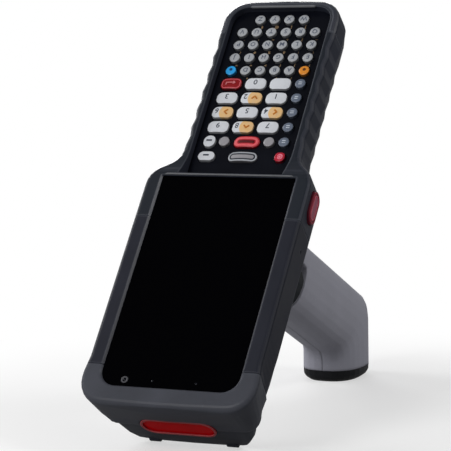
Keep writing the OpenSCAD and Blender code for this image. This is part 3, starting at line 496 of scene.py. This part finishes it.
def facing(shader, start=0.55, end=0.9):
    """Mask of the surfaces that face the way the glass does, rising from the cosine start to end."""
    made = use_group(shader, "faces out")
    made.inputs["From"].default_value = start
    made.inputs["To"].default_value = end
    return made.outputs["Mask"]


def moulded(name, rgb, roughness, edge=None, grain_scale=2500.0, grain=1.0, contrast=0.12,
            specular=0.25, coat=0.0, mottle_scale=60.0, face_shade_rgb=None, ridge_highlight=0.0, polish=0.0,
            highlight_rgb=None):
    """Moulded plastic or rubber with a grain, a faint mottle, softly rounded edges and painted highlights on
    its ridges.

    Where a face colour is given, the surfaces that face the way the glass does take it, as painted shade. A
    share of the ridges, set by the highlight amount, is painted in the highlight colour, or in a lighter
    copy of the colour where none is given, as painted highlight. Where polish is given, it is the weight of
    a coat that only the surfaces leaning towards the glass side have, in place of the even one.
    """
    shader = Shader(name)
    surface = use_group(
        shader, "moulded", edge=sizes().soft_edge if edge is None else edge,
        grain_scale=grain_scale, grain_depth=sizes().grain * grain, mottle_scale=mottle_scale)
    tone = shader.mix(shader.noise(surface, "Mottle", 0.0, 1.0),
                      shades(rgb, 1 - contrast), shades(rgb, 1 + contrast))
    tone = shader.mix(shader.map(surface.outputs["Speck"], 0.62, 0.8, 0.0, 0.35), tone, shades(rgb, 1.5))
    # painted shade: the surfaces that face the glass side are darker, as they mirror little light
    if face_shade_rgb is not None:
        tone = shader.mix(facing(shader, 0.86, 0.97), tone, face_shade_rgb)
    # painted highlight: the ridges turn lighter, as if they caught the lamps
    if ridge_highlight:
        highlight_mask = shader.map(surface.outputs["Ridge"], 0.0, 1.0, 0.0, ridge_highlight)
        tone = shader.mix(highlight_mask, tone, shades(rgb, 2.6) if highlight_rgb is None else highlight_rgb)
    rough = shader.map(surface.outputs["Mottle"], 0.2, 0.8, roughness - 0.05, roughness + 0.07)
    shader.feed(tone, rough, surface)
    shader.level("Specular IOR Level", specular)
    shader.level("Coat Weight", coat)
    shader.level("Coat Roughness", 0.3 if polish else 0.15)
    if polish:
        gloss = shader.map(facing(shader, 0.25, 0.6), 0.0, 1.0, 0.0, polish)
        shader.link(gloss, shader.bsdf.inputs["Coat Weight"])
    return shader.material


def key_cap(name, rgb, side, roughness=0.35, edge=0.0007, coat=0.3, print_at=None, print_rgb=None):
    """A key: its top in one colour, its sides in another, darker one as painted shade, and a printed area
    where it has one.
    """
    shader = Shader(name)
    surface = use_group(shader, "moulded", edge=edge, grain_scale=1800.0,
                        grain_depth=sizes().grain * 0.4, mottle_scale=500.0)
    top = facing(shader)
    # painted shade: the sides of the key take the darker side colour
    tone = shader.mix(top, side, rgb)
    if print_at is not None:
        where = shader.node("ShaderNodeTexCoord")
        reach = shader.node("ShaderNodeVectorMath", operation="DISTANCE")
        shader.link(where.outputs["Object"], reach.inputs[0])
        reach.inputs[1].default_value = place(print_at)
        area = shader.map(reach.outputs["Value"], PRINT_R * MM, (PRINT_R - PRINT_BLUR) * MM)
        # painted shade: the print is darker on the key's sides
        shade = shader.mix(top, shades(print_rgb, 0.6), print_rgb)
        tone = shader.mix(area, tone, shade)
    tone = shader.mix(shader.noise(surface, "Mottle", 0.0, 0.22), tone, shades(rgb, 0.7))
    rough = shader.noise(surface, "Speck", roughness - 0.06, roughness + 0.06)
    shader.feed(tone, rough, surface)
    shader.level("Coat Weight", coat)
    shader.level("Coat Roughness", 0.12)
    return shader.material


def ink(name, rgb, roughness=0.5):
    """Printed ink with faintly uneven cover."""
    shader = Shader(name)
    surface = use_group(shader, "moulded", edge=0.00002, grain_scale=4000.0,
                        grain_depth=0.00001, mottle_scale=1500.0)
    cover = shader.map(surface.outputs["Mottle"], 0.35, 0.7, 0.0, 0.5)
    rough = shader.noise(surface, "Speck", roughness - 0.1, roughness + 0.1)
    shader.feed(shader.mix(cover, rgb, shades(rgb, 1.35)), rough)
    shader.level("Specular IOR Level", 0.3)
    return shader.material


def metal(name, rgb, roughness):
    """Plated metal with a faint mottle and a roughness that varies finely."""
    shader = Shader(name)
    surface = use_group(shader, "moulded", edge=0.0002, grain_scale=6000.0,
                        grain_depth=0.00001, mottle_scale=900.0)
    tone = shader.mix(surface.outputs["Mottle"], shades(rgb, 0.8), rgb)
    rough = shader.noise(surface, "Speck", roughness - 0.08, roughness + 0.1)
    shader.feed(tone, rough, surface)
    shader.level("Metallic", 1)
    return shader.material


def dress(material, *nodes):
    """Gives CAD nodes a material."""
    for node in nodes:
        slots = NODES[node].data.materials
        slots.clear()
        slots.append(material)


# ---- operators

class TERMINAL_OT_case(bpy.types.Operator):
    """Finish the mouldings, bumpers, rails, latch and battery of the case, and the grip's bracket"""
    bl_idname = "terminal.case"
    bl_label = "Case"

    def execute(self, context):
        tint = colours()
        # the case, tail and rails get painted highlights on their ridges, the bumper a faint one, and the
        # case a painted shade where it faces the glass side
        case = moulded("case plastic", tint.case, 0.5, edge=0.0012, specular=0.08, face_shade_rgb=tuple(tint.rim),
                       ridge_highlight=0.5, polish=0.6, highlight_rgb=linear(104, 108, 118))
        dress(case, "front_housing")
        back = moulded("back plastic", shades(tint.case, 0.8), 0.55, grain=1.4)
        dress(back, "rear_housing", "battery_latch", "grip_bracket")
        pack = moulded("battery plastic", shades(tint.case, 0.62), 0.6, grain=1.6)
        dress(pack, "battery_pack")
        bumper = moulded("bumper rubber", tint.bumper, 0.55, edge=0.002, grain=1.2, specular=0.12, ridge_highlight=0.12,
                         polish=0.2)
        dress(bumper, "nose_bumper")
        tail = moulded("tail rubber", tint.case, 0.5, edge=0.002, specular=0.08, ridge_highlight=0.5, polish=1.0,
                       highlight_rgb=linear(112, 116, 126))
        dress(tail, "tail_bumper")
        rail = moulded("rail plastic", tint.rail, 0.5, edge=0.0012, specular=0.08, ridge_highlight=0.4, polish=0.6,
                       highlight_rgb=linear(96, 100, 112))
        dress(rail, "side_rails")
        return {"FINISHED"}


class TERMINAL_OT_glass(bpy.types.Operator):
    """Finish the touch glass and add its camera ring and sensor dots"""
    bl_idname = "terminal.glass"
    bl_label = "Touch glass"

    CAMERA = (-21.4, -109.1)
    CAMERA_RING = (1.7, 0.9)  # outer and inner radius
    LENS_R = 0.55
    SENSORS = ((-7.9, -109.0), (13.4, -109.0))
    SENSOR_R = 0.5
    DISC_STEPS = 32  # points round a disc
    DISC_CORE = 0.02  # radius of the face that closes a disc in the middle

    def execute(self, context):
        shader = Shader("black glass")
        surface = use_group(shader, "moulded", edge=0.0004, grain_scale=40.0,
                            grain_depth=0.000001, mottle_scale=25.0)
        tone = shader.mix(surface.outputs["Mottle"], shades(colours().glass, 0.7), colours().glass)
        shader.feed(tone, shader.noise(surface, "Mottle", 0.04, 0.07), surface)
        shader.level("Specular IOR Level", 0.03)
        dress(shader.material, "touch_glass")
        ring = self.disc(self.CAMERA, *self.CAMERA_RING)
        add_print("camera_ring", [ring], ink("camera ring", linear(70, 70, 75)))
        discs = [self.disc(self.CAMERA, self.LENS_R)]
        discs += [self.disc(sensor, self.SENSOR_R) for sensor in self.SENSORS]
        add_print("camera_lens", discs, ink("lens blue", linear(20, 22, 30), 0.2))
        return {"FINISHED"}

    def disc(self, middle, outer, inner=0.0):
        """A flat ring, or a disc when inner is 0: the angle is one parameter and the radius the other."""
        x, y = middle
        n = self.DISC_STEPS
        a = np.linspace(0, 2 * np.pi, n + 1)[:-1]
        radii = np.linspace(outer, max(inner, self.DISC_CORE), 3)
        rows = [np.stack((x + r * np.cos(a), y + r * np.sin(a), np.full(n, FLAT_LIFT)), -1) for r in radii]
        faces = list(grid_faces(len(rows), n, True))
        if inner == 0:
            faces.append([(len(rows) - 1) * n + i for i in range(n)])
        return np.concatenate(rows), faces


class TERMINAL_OT_lips(bpy.types.Operator):
    """Add the pale lips along the keypad end of the glass and the tail end of the key plate, whose pale
    colour is a painted highlight
    """
    bl_idname = "terminal.lips"
    bl_label = "Lips"

    # piece, half of its length, y and z of its axis, radius, and the way along Y that it bulges
    BEADS = (("glass_lip_highlight", 32.3, 0.5, 0.75, 0.55, 1), ("keypad_lip_highlight", 17.0, 104.2, -4.05, 0.55, -1))
    STEPS_ALONG, STEPS_ROUND = 81, 13
    ARC = (125, -65)  # degrees round the axis that the bead covers
    TAPER, THIN = 30, 0.1  # a bead thins over the last thirtieth of each half, to the root of 0.1

    def execute(self, context):
        # painted highlight: the pale beads stand in for light caught on these edges
        finish = moulded("lip", linear(104, 106, 110), 0.35, edge=0.0001)
        for name, *shape in self.BEADS:
            add_print(name, [self.bead(*shape)], finish)
        return {"FINISHED"}

    def bead(self, half, y, z, r, way):
        """A round bead along X, thinner at its ends: u runs along it and a round it."""
        u, a = np.meshgrid(np.linspace(-1, 1, self.STEPS_ALONG),
                           np.radians(np.linspace(*self.ARC, self.STEPS_ROUND)), indexing="ij")
        r = r * np.clip((1 - np.abs(u)) * self.TAPER, self.THIN, 1) ** 0.5
        lip = np.stack((half * u, y + way * r * np.cos(a), z + r * np.sin(a)), -1).reshape(-1, 3)
        faces = grid_faces(self.STEPS_ALONG, self.STEPS_ROUND)
        return lip, faces if way > 0 else faces[:, ::-1]


class TERMINAL_OT_scan_window(bpy.types.Operator):
    """Finish the scan window and its bezel"""
    bl_idname = "terminal.scan_window"
    bl_label = "Scan window"

    def execute(self, context):
        tint = colours()
        shader = Shader("red filter")
        surface = use_group(shader, "moulded", edge=0.0003, grain_scale=90.0,
                            grain_depth=0.000004, mottle_scale=70.0)
        tone = shader.mix(surface.outputs["Mottle"], shades(tint.window, 0.8), shades(tint.window, 1.1))
        shader.feed(tone, shader.noise(surface, "Mottle", 0.08, 0.14), surface)
        shader.level("Specular IOR Level", 0.02)
        dress(shader.material, "scan_window")
        # painted highlight: the bezel's ridges are painted pale pink
        bezel = moulded("window bezel", tint.bezel, 0.38, edge=0.0005, contrast=0.2, ridge_highlight=0.9,
                        highlight_rgb=linear(226, 118, 122))
        dress(bezel, "window_bezel")
        return {"FINISHED"}


class TERMINAL_OT_side_buttons(bpy.types.Operator):
    """Finish the side buttons and add the two raised rings and the middle pad of each"""
    bl_idname = "terminal.side_buttons"
    bl_label = "Side buttons"

    SIDES = ((-1, "side_button_left"), (1, "side_button_right"))
    MARGIN = 1.0  # the lip round a button's foot and a little more, left out of its length and height
    # label, inset from that margin, radius of the bead, colour
    RINGS = (("rim", 0.55, 0.4, (158, 30, 54)), ("ring", 2.0, 0.5, (206, 92, 112)))
    STEPS_ROUND, STEPS_OVER = 72, 7
    SINK = 0.1  # how deep the foot of a ring sits in the button
    PAD_INSET = 2.1
    PAD_LIFT = 0.12
    PAD_SHARES = (1.0, 0.6, 0.02)  # widths of the pad's outlines
    SLACK, PAD_SLACK = 0.01, 0.005  # how far the radius of round ends stays under half of the width

    def execute(self, context):
        dress(moulded("button rubber", colours().button, 0.5, edge=0.0006, contrast=0.2),
              *[name for side, name in self.SIDES])
        for label, inset, tube, rgb in self.RINGS:
            finish = moulded("button " + label, linear(*rgb), 0.45, contrast=0.25)
            for side, name in self.SIDES:
                add_piece(label + "_" + name, [self.ring(name, side, inset, tube)], finish,
                          name + "_body")
        finish = moulded("button middle", linear(166, 90, 110), 0.5, contrast=0.2)
        for side, name in self.SIDES:
            add_piece("middle_" + name, [self.middle(name, side)], finish, name + "_body")
        return {"FINISHED"}

    def cap(self, name, side):
        """X of a button's outer face, y and z of its middle, and its length and height in the margin."""
        low, high = extent(name)
        y, z = (low + high)[1:] / 2
        l, h = (high - low)[1:] - 2 * self.MARGIN
        return (high if side > 0 else low)[0], y, z, l, h

    def middle(self, name, side):
        """Pad inside the inner ring: its outline shrunk towards a line, at one height."""
        face, y0, z0, l, h = self.cap(name, side)
        l, h = l - 2 * self.PAD_INSET, h - 2 * self.PAD_INSET
        t = steps(PAD_STEPS)
        x = np.full(len(t), face + side * self.PAD_LIFT)
        rows = []
        for share in self.PAD_SHARES:
            y, z = round_box(t, l - h + h * share, h * share, h * share / 2 - self.PAD_SLACK)
            rows.append(np.stack((x, y0 + y, z0 + z), -1))
        faces = grid_faces(len(rows), len(t), True)
        return np.concatenate(rows), faces if side > 0 else faces[:, ::-1]

    def ring(self, name, side, ring_inset, tube):
        """Half-round bead swept round a capsule: one parameter goes round, one over the bead."""
        face, y0, z0, l, h = self.cap(name, side)
        t = steps(self.STEPS_ROUND)
        rows = []
        for a in np.linspace(0, np.pi, self.STEPS_OVER):
            inset = ring_inset - tube * np.cos(a)
            y, z = round_box(t, l - 2 * inset, h - 2 * inset, h / 2 - inset - self.SLACK)
            x = face + side * (tube * np.sin(a) - self.SINK)
            rows.append(np.stack((np.full(len(t), x), y0 + y, z0 + z), -1))
        faces = grid_faces(len(rows), len(t), True, True)
        return np.concatenate(rows), faces if side < 0 else faces[:, ::-1]


class TERMINAL_OT_grip(bpy.types.Operator):
    """Finish the grip, its foot, the trigger with its pin and spring, and the screws"""
    bl_idname = "terminal.grip"
    bl_label = "Grip"

    def execute(self, context):
        tint = colours()
        grip = moulded("grip plastic", tint.grip, 0.6, edge=0.002, grain=1.6, grain_scale=1500.0,
                       contrast=0.06, mottle_scale=35.0)
        dress(grip, "grip_shell_left", "grip_shell_right")
        dress(moulded("foot rubber", tint.foot, 0.5), "grip_foot")
        dress(moulded("trigger plastic", tint.trigger, 0.5, edge=0.001, specular=0.1), "trigger")
        dress(metal("pin steel", linear(150, 152, 158), 0.3), "trigger_pin", "trigger_spring",
              "grip_screws", "case_screws")
        return {"FINISHED"}


class TERMINAL_OT_inside(bpy.types.Operator):
    """Finish what the case holds: display, boards, key mat, scan engine, switch and contacts"""
    bl_idname = "terminal.inside"
    bl_label = "Inside"

    def execute(self, context):
        dress(moulded("display frame", linear(30, 31, 34), 0.4), "display_module")
        board = moulded("solder resist", linear(22, 92, 66), 0.35, contrast=0.3, mottle_scale=300.0)
        dress(board, "main_board", "keypad_board")
        dress(moulded("key mat", linear(200, 203, 208), 0.5), "keypad_mat")
        dress(moulded("inner black", linear(28, 29, 33), 0.45), "scan_engine", "trigger_switch")
        dress(metal("contact gold", linear(208, 168, 82), 0.28), "dock_contacts")
        return {"FINISHED"}


NUMBER_KEYS = {"key_%d" % n: str(n) for n in range(10)}
# the way along X and Y that each arrow points
ARROWS = {"key_2": (0, 1), "key_4": (1, 0), "key_6": (-1, 0), "key_8": (0, -1)}
LETTER_ROWS = {1: "ABCD", 2: "EFGHIJ", 3: "KLMNOP", 4: "QRSTUV", 5: "WXYZ"}
COLUMN_KEYS = ("key_tab", "key_side_1", "key_side_2", "key_side_3", "key_side_4")


class TERMINAL_OT_keys(bpy.types.Operator):
    """Finish every key cap and the plate that the keys come through"""
    bl_idname = "terminal.keys"
    bl_label = "Keys"

    def execute(self, context):
        tint = colours()
        dress(moulded("key plate", tint.face, 0.3, grain=0.3, specular=0.1, coat=0.1, contrast=0.25),
              "keypad_face")
        white = tuple(tint.white_key)
        # painted shade: each key's sides are a darker copy of its colour, here and for the keys below
        side = shades(white, 0.5)
        white_cap = key_cap("white key", white, side)
        dress(white_cap, "key_point", "key_back", "key_menu",
              *[n for n in NUMBER_KEYS if n not in ARROWS])
        for node in ARROWS:
            key = Key(node)
            middle = (key.x + PRINT_EDGE + PRINT_R, key.y, key.top)
            dress(key_cap("print " + node, white, side, print_at=middle, print_rgb=tuple(tint.patch)), node)
        silver = tuple(tint.letter_key)
        dress(key_cap("letter key", silver, shades(silver, 0.32), 0.4, 0.0011),
              *["letters_row_%d" % row for row in LETTER_ROWS])
        grey = tuple(tint.grey_key)
        dress(key_cap("grey key", grey, shades(grey, 0.4), 0.4, 0.0011), "key_send", "key_end", "key_home")
        steel = tuple(tint.steel_key)
        dress(key_cap("steel key", steel, shades(steel, 0.4), 0.4, 0.0011), *COLUMN_KEYS)
        for node, rgb in (("key_scan", tint.scan_key), ("key_enter", tint.enter_key),
                          ("key_power", tint.power_key), ("key_blue", tint.blue_key),
                          ("key_orange", tint.orange_key)):
            dress(key_cap(node + " cap", tuple(rgb), shades(rgb, 0.35), 0.32, 0.0009), node)
        return {"FINISHED"}


class TERMINAL_OT_digits(bpy.types.Operator):
    """Print the digits and the arrows of the number keys"""
    bl_idname = "terminal.digits"
    bl_label = "Digits"

    SIDE_SHIFT = -3.1  # a digit beside an arrow stands this far off the middle of its key
    UP_SHIFT = 0.7
    ARROW_AT = (1.9, 0.1)
    ARROW_AHEAD, ARROW_ASIDE = 0.75, 1.35  # from the middle of an arrow to its tip and to each side
    ARROW_STROKE = 0.75

    def execute(self, context):
        dark = ink("digit ink", tuple(colours().ink))
        amber = ink("arrow ink", linear(196, 118, 34))
        lift = sizes().lift / MM
        for node, digit in NUMBER_KEYS.items():
            dx = self.SIDE_SHIFT if node in ARROWS else 0.0
            mark = legend_on(Key(node), digit, sizes().digit, lift, dx, self.UP_SHIFT)
            add_print("digit_" + digit, [mark], dark, node)
        for node, way in ARROWS.items():
            mark = stroke_on(Key(node), self.arrow(*way), self.ARROW_STROKE, lift)
            add_print("arrow_" + node, [mark], amber, node)
        return {"FINISHED"}

    def arrow(self, ax, ay):
        """Path of an arrow head that points along ax, ay: two straight runs that meet at its tip."""
        middle = np.array(self.ARROW_AT)
        ahead = np.array((ax, ay), float) * self.ARROW_AHEAD
        aside = np.array((-ay, ax), float) * self.ARROW_ASIDE
        start, tip, end = middle - ahead + aside, middle + ahead, middle - ahead - aside
        run = np.linspace(0, 1, 5)[:, None]
        return np.concatenate([start + (tip - start) * run, tip + (end - tip) * run[1:]])


class TERMINAL_OT_letters(bpy.types.Operator):
    """Print the letters of each row of letter keys"""
    bl_idname = "terminal.letters"
    bl_label = "Letters"

    UP_SHIFT = 0.3

    def execute(self, context):
        dark = ink("letter ink", shades(colours().ink, 1.8))
        lift = sizes().lift / MM
        for row, letters in LETTER_ROWS.items():
            node = "letters_row_%d" % row
            marks = []
            for index, letter in enumerate(reversed(letters)):
                key = Key(node, index, len(letters))
                marks.append(legend_on(key, letter, sizes().letter, lift, 0.0, self.UP_SHIFT))
            add_print("letters_%d" % row, marks, dark, node)
        return {"FINISHED"}


class TERMINAL_OT_key_marks(bpy.types.Operator):
    """Add the rings, pads and lines on the scan, enter, home, shift, column, back, menu and power keys"""
    bl_idname = "terminal.key_marks"
    bl_label = "Key marks"

    SCAN_CORNER = 3.0
    CORNER = 2.4  # corner radius at the edge of the enter and home keys
    INSET = 0.5  # from the edge of the scan or enter key to its ring
    WIDE, NARROW = 1.9, 0.45  # shares of the ring width
    RIM_INSET, LINE_INSET = 0.05, 0.15
    # width, length and corner radius
    SCAN_SLOT = (8.4, 1.5, 0.7)
    SHIFT_DOT = (1.7, 1.7, 0.84)
    COLUMN_BAR = (1.9, 0.45, 0.2)
    POWER_PAD = (2.8, 3.0, 1.35)
    POWER_RING = (1.9, 1.9, 0.94)
    BAR_ROWS = (-0.35, 0.75)
    # paths and stroke widths
    HOOK = ((-2.4, -0.9), (-2.4, 0.5), (-1.0, 0.5), (0.6, 0.5), (2.2, 0.5))
    HOOK_HEAD = ((1.1, 1.3), (2.2, 0.5), (1.1, -0.3))
    HOOK_STROKE = 0.5
    DASH = ((-1.5, 0.35), (-0.7, 0.35), (0.2, 0.35), (1.3, 0.35))
    DASH_STROKE = 0.8

    def execute(self, context):
        lift = sizes().lift / MM
        ring = sizes().ring / MM
        scan = Key("key_scan")
        band = edge_ring(scan, self.SCAN_CORNER, self.INSET, self.INSET + self.WIDE * ring, lift)
        self.mark(scan, "scan_key_ring", "scan ring", (236, 96, 104), "key_red", band)
        slot = pad_on(scan, *self.SCAN_SLOT, lift)
        self.mark(scan, "scan_key_slot", "scan slot", (84, 8, 14), "key_red", slot)
        enter = Key("key_enter")
        band = edge_ring(enter, self.CORNER, self.INSET, self.INSET + self.NARROW * ring, lift)
        self.mark(enter, "enter_key_ring", "enter ring", (232, 108, 118), "key_dark_red", band)
        hook = [stroke_on(enter, path, self.HOOK_STROKE, lift) for path in (self.HOOK, self.HOOK_HEAD)]
        self.mark(enter, "enter_key_arrow", "enter ink", (214, 132, 136), "key_dark_red", *hook)
        home = Key("key_home")
        rim_end = self.RIM_INSET + ring
        band = edge_ring(home, self.CORNER, self.RIM_INSET, rim_end, lift)
        self.mark(home, "home_key_rim", "home rim", (176, 180, 186), "key_grey", band)
        band = edge_ring(home, self.CORNER, rim_end, self.LINE_INSET + self.WIDE * ring, lift)
        self.mark(home, "home_key_line", "home line", (36, 42, 52), "key_grey", band)
        for name, rgb in (("key_blue", (12, 62, 110)), ("key_orange", (98, 52, 10))):
            key = Key(name)
            dot = pad_on(key, *self.SHIFT_DOT, lift, 0.0, 0.5)
            self.mark(key, name + "_dot", name + " dot", rgb, name, dot)
        for name in COLUMN_KEYS:
            key = Key(name)
            bars = [pad_on(key, *self.COLUMN_BAR, lift, 0.0, y) for y in self.BAR_ROWS]
            self.mark(key, name + "_bars", name + " ink", (196, 204, 214), "key_steel", *bars)
        for name in ("key_back", "key_menu"):
            dash = stroke_on(Key(name), self.DASH, self.DASH_STROKE, lift)
            add_print(name + "_line", [dash], ink(name + " ink", tuple(colours().ink)), name)
        power = Key("key_power")
        pad = pad_on(power, *self.POWER_PAD, lift, 0.2, 0.1)
        self.mark(power, "power_key_middle", "power middle", (246, 134, 152), "key_pink", pad)
        band = ring_on(power, *self.POWER_RING, 0.0, 0.3, 3 * lift)
        self.mark(power, "power_key_ring", "power ink", (212, 60, 86), "key_pink", band)
        return {"FINISHED"}

    def mark(self, key, name, label, rgb, slot, *parts):
        """A print in an ink of its own."""
        add_print(name, parts, ink(label, linear(*rgb)), key.node)


class TERMINAL_OT_plate_marks(bpy.types.Operator):
    """Print the small signs beside the letter keys on the key plate"""
    bl_idname = "terminal.plate_marks"
    bl_label = "Plate marks"

    SIGNS = "+-*/=<>()!?#%&:;.,~^|_$@[]"
    SHIFT = (1.5, -3.85)  # from the middle of a letter key to its sign

    def execute(self, context):
        tan = ink("tan ink", linear(150, 124, 92))
        top = extent("keypad_face")[1][2]
        spare = iter(self.SIGNS)
        marks = []
        for row, letters in LETTER_ROWS.items():
            for index in range(len(letters)):
                key = Key("letters_row_%d" % row, index, len(letters))
                points, faces = glyph(next(spare), sizes().hint)
                x = key.x + self.SHIFT[0] - points[:, 0]
                y = key.y + self.SHIFT[1] - points[:, 1]
                marks.append((np.stack((x, y, np.full(len(x), top + FLAT_LIFT)), -1), faces))
        add_print("plate_signs", marks, tan)
        return {"FINISHED"}


class TERMINAL_OT_stage(bpy.types.Operator):
    """Set up the floor with its backdrop, the lights and the camera"""
    bl_idname = "terminal.stage"
    bl_label = "Stage"

    CAMERA_AT = (393.21, -498.79, 738.91)
    CAMERA_AIM = (0.87, -21.11, -8.61)
    CAMERA_ROLL = 0.974
    LENS = 167.63
    GLOSS_SHARE = 0.3  # share of the backdrop's white that glossy surfaces show
    BOUNCE = 0.35  # its grey for light that bounces off it
    SHADOW_REACH = (0.1, 0.26)  # metres from the middle of the floor over which its glow becomes full
    SHADOW_GLOW = 0.5  # its glow nearer than that, where the rest shows the shadow
    WORLD_LIGHT = 0.15
    LAMP_AIM = (0, 0, 0.08)
    LAMP_REACH = 2.4
    # name, turn about Z and rise above the floor in degrees, width in metres, power in watts
    LAMPS = (("front lamp", 252, 28, 1.0, 27), ("right lamp", 8, 41, 0.8, 13),
             ("left lamp", 176, 30, 1.0, 17), ("back lamp", 121, 13, 1.4, 42))

    def execute(self, context):
        self.backdrop()
        self.world()
        aim = Vector(self.LAMP_AIM)
        for name, turn, rise, size, power in self.LAMPS:
            light = bpy.data.lights.new(name, "AREA")
            light.shape = "DISK"
            light.size = size
            light.energy = power
            lamp = bpy.data.objects.new(name, light)
            turn, rise = np.radians((turn, rise))
            away = Vector((np.cos(rise) * np.cos(turn), np.cos(rise) * np.sin(turn), np.sin(rise)))
            lamp.location = aim + away * self.LAMP_REACH
            lamp.rotation_euler = (-away).to_track_quat("-Z", "Y").to_euler()
            context.scene.collection.objects.link(lamp)
        self.camera(context)
        context.scene.view_settings.view_transform = "Standard"
        return {"FINISHED"}

    def backdrop(self):
        """Floor, round sweep and wall as one profile carried along X."""
        half, near, far, bend, height = 5.0, -3.0, 2.2, 0.8, 4.0
        a = np.linspace(-np.pi / 2, 0, 13)
        y = np.concatenate(([near], far + bend * np.cos(a), [far + bend]))
        z = np.concatenate(([0.0], bend + bend * np.sin(a), [height]))
        rows = [np.stack((np.full(len(y), x), y, z), -1) for x in (-half, half)]
        floor = add_object("backdrop", np.concatenate(rows), grid_faces(2, len(y)).tolist(), self.white())

    def white(self):
        """White to the camera and through glass, dimmer in gloss, grey to other light."""
        shader = Shader("white backdrop")
        shader.level("Roughness", 1)
        shader.level("Specular IOR Level", 0)
        glow = shader.node("ShaderNodeEmission")
        path = shader.node("ShaderNodeLightPath")
        seen = shader.math("MAXIMUM", path.outputs["Is Camera Ray"], path.outputs["Is Transmission Ray"])
        shader.link(shader.mix(seen, (self.BOUNCE,) * 3, (1.0, 1.0, 1.0)), shader.bsdf.inputs["Base Color"])
        gloss = shader.map(path.outputs["Is Glossy Ray"], 0.0, 1.0, 0.0, self.GLOSS_SHARE)
        where = shader.node("ShaderNodeTexCoord")
        reach = shader.node("ShaderNodeVectorMath", operation="LENGTH")
        shader.link(where.outputs["Object"], reach.inputs[0])
        away = shader.map(reach.outputs["Value"], *self.SHADOW_REACH, self.SHADOW_GLOW, 1.0, smooth=True)
        blend = shader.node("ShaderNodeMixShader")
        shader.link(shader.math("MULTIPLY", shader.math("MAXIMUM", seen, gloss), away), blend.inputs[0])
        shader.link(shader.bsdf.outputs[0], blend.inputs[1])
        shader.link(glow.outputs[0], blend.inputs[2])
        shader.link(blend.outputs[0], shader.tree.nodes["Material Output"].inputs["Surface"])
        return shader.material

    def world(self):
        """Even dim light, and plain white where the camera looks past the backdrop."""
        world = bpy.data.worlds.new("studio")
        bpy.context.scene.world = world
        world.use_nodes = True
        tree = world.node_tree
        lit = tree.nodes["Background"]
        lit.inputs["Color"].default_value = (1, 1, 1, 1)
        lit.inputs["Strength"].default_value = self.WORLD_LIGHT
        seen = tree.nodes.new("ShaderNodeBackground")
        seen.inputs["Color"].default_value = (1, 1, 1, 1)
        path = tree.nodes.new("ShaderNodeLightPath")
        blend = tree.nodes.new("ShaderNodeMixShader")
        tree.links.new(path.outputs["Is Camera Ray"], blend.inputs[0])
        tree.links.new(lit.outputs[0], blend.inputs[1])
        tree.links.new(seen.outputs[0], blend.inputs[2])
        tree.links.new(blend.outputs[0], tree.nodes["World Output"].inputs["Surface"])

    def camera(self, context):
        data = bpy.data.cameras.new("camera")
        data.lens = self.LENS
        data.clip_end = 20
        camera = bpy.data.objects.new("camera", data)
        at, aim = (Vector(place(p)) for p in (self.CAMERA_AT, self.CAMERA_AIM))
        turn = (aim - at).to_track_quat("-Z", "Y").to_matrix() @ Matrix.Rotation(
            np.radians(-self.CAMERA_ROLL), 3, "Z")
        camera.matrix_world = Matrix.Translation(at) @ turn.to_4x4()
        context.scene.collection.objects.link(camera)
        context.scene.camera = camera


OPERATORS = (TERMINAL_OT_case, TERMINAL_OT_glass, TERMINAL_OT_lips, TERMINAL_OT_scan_window,
             TERMINAL_OT_side_buttons, TERMINAL_OT_grip, TERMINAL_OT_inside, TERMINAL_OT_keys,
             TERMINAL_OT_digits, TERMINAL_OT_letters, TERMINAL_OT_key_marks, TERMINAL_OT_plate_marks,
             TERMINAL_OT_stage)


class TERMINAL_PT_panel(bpy.types.Panel):
    """Lists the sizes, the colours and the steps"""
    bl_idname = "TERMINAL_PT_panel"
    bl_label = "Data terminal"
    bl_space_type = "VIEW_3D"
    bl_region_type = "UI"
    bl_category = "Terminal"

    def draw(self, context):
        for group in (context.scene.terminal_sizes, context.scene.terminal_colours):
            column = self.layout.column(align=True)
            for name in group.__annotations__:
                column.prop(group, name)
        for operator in OPERATORS:
            self.layout.operator(operator.bl_idname)


CLASSES = (TerminalColours, TerminalSizes, *OPERATORS, TERMINAL_PT_panel)


def register():
    for cls in CLASSES:
        bpy.utils.register_class(cls)
    bpy.types.Scene.terminal_colours = bpy.props.PointerProperty(type=TerminalColours)
    bpy.types.Scene.terminal_sizes = bpy.props.PointerProperty(type=TerminalSizes)


def unregister():
    del bpy.types.Scene.terminal_sizes
    del bpy.types.Scene.terminal_colours
    for cls in reversed(CLASSES):
        bpy.utils.unregister_class(cls)


def main():
    register()
    for operator in OPERATORS:
        getattr(bpy.ops.terminal, operator.bl_idname.split(".")[1])()


if __name__ == "__main__":
    main()
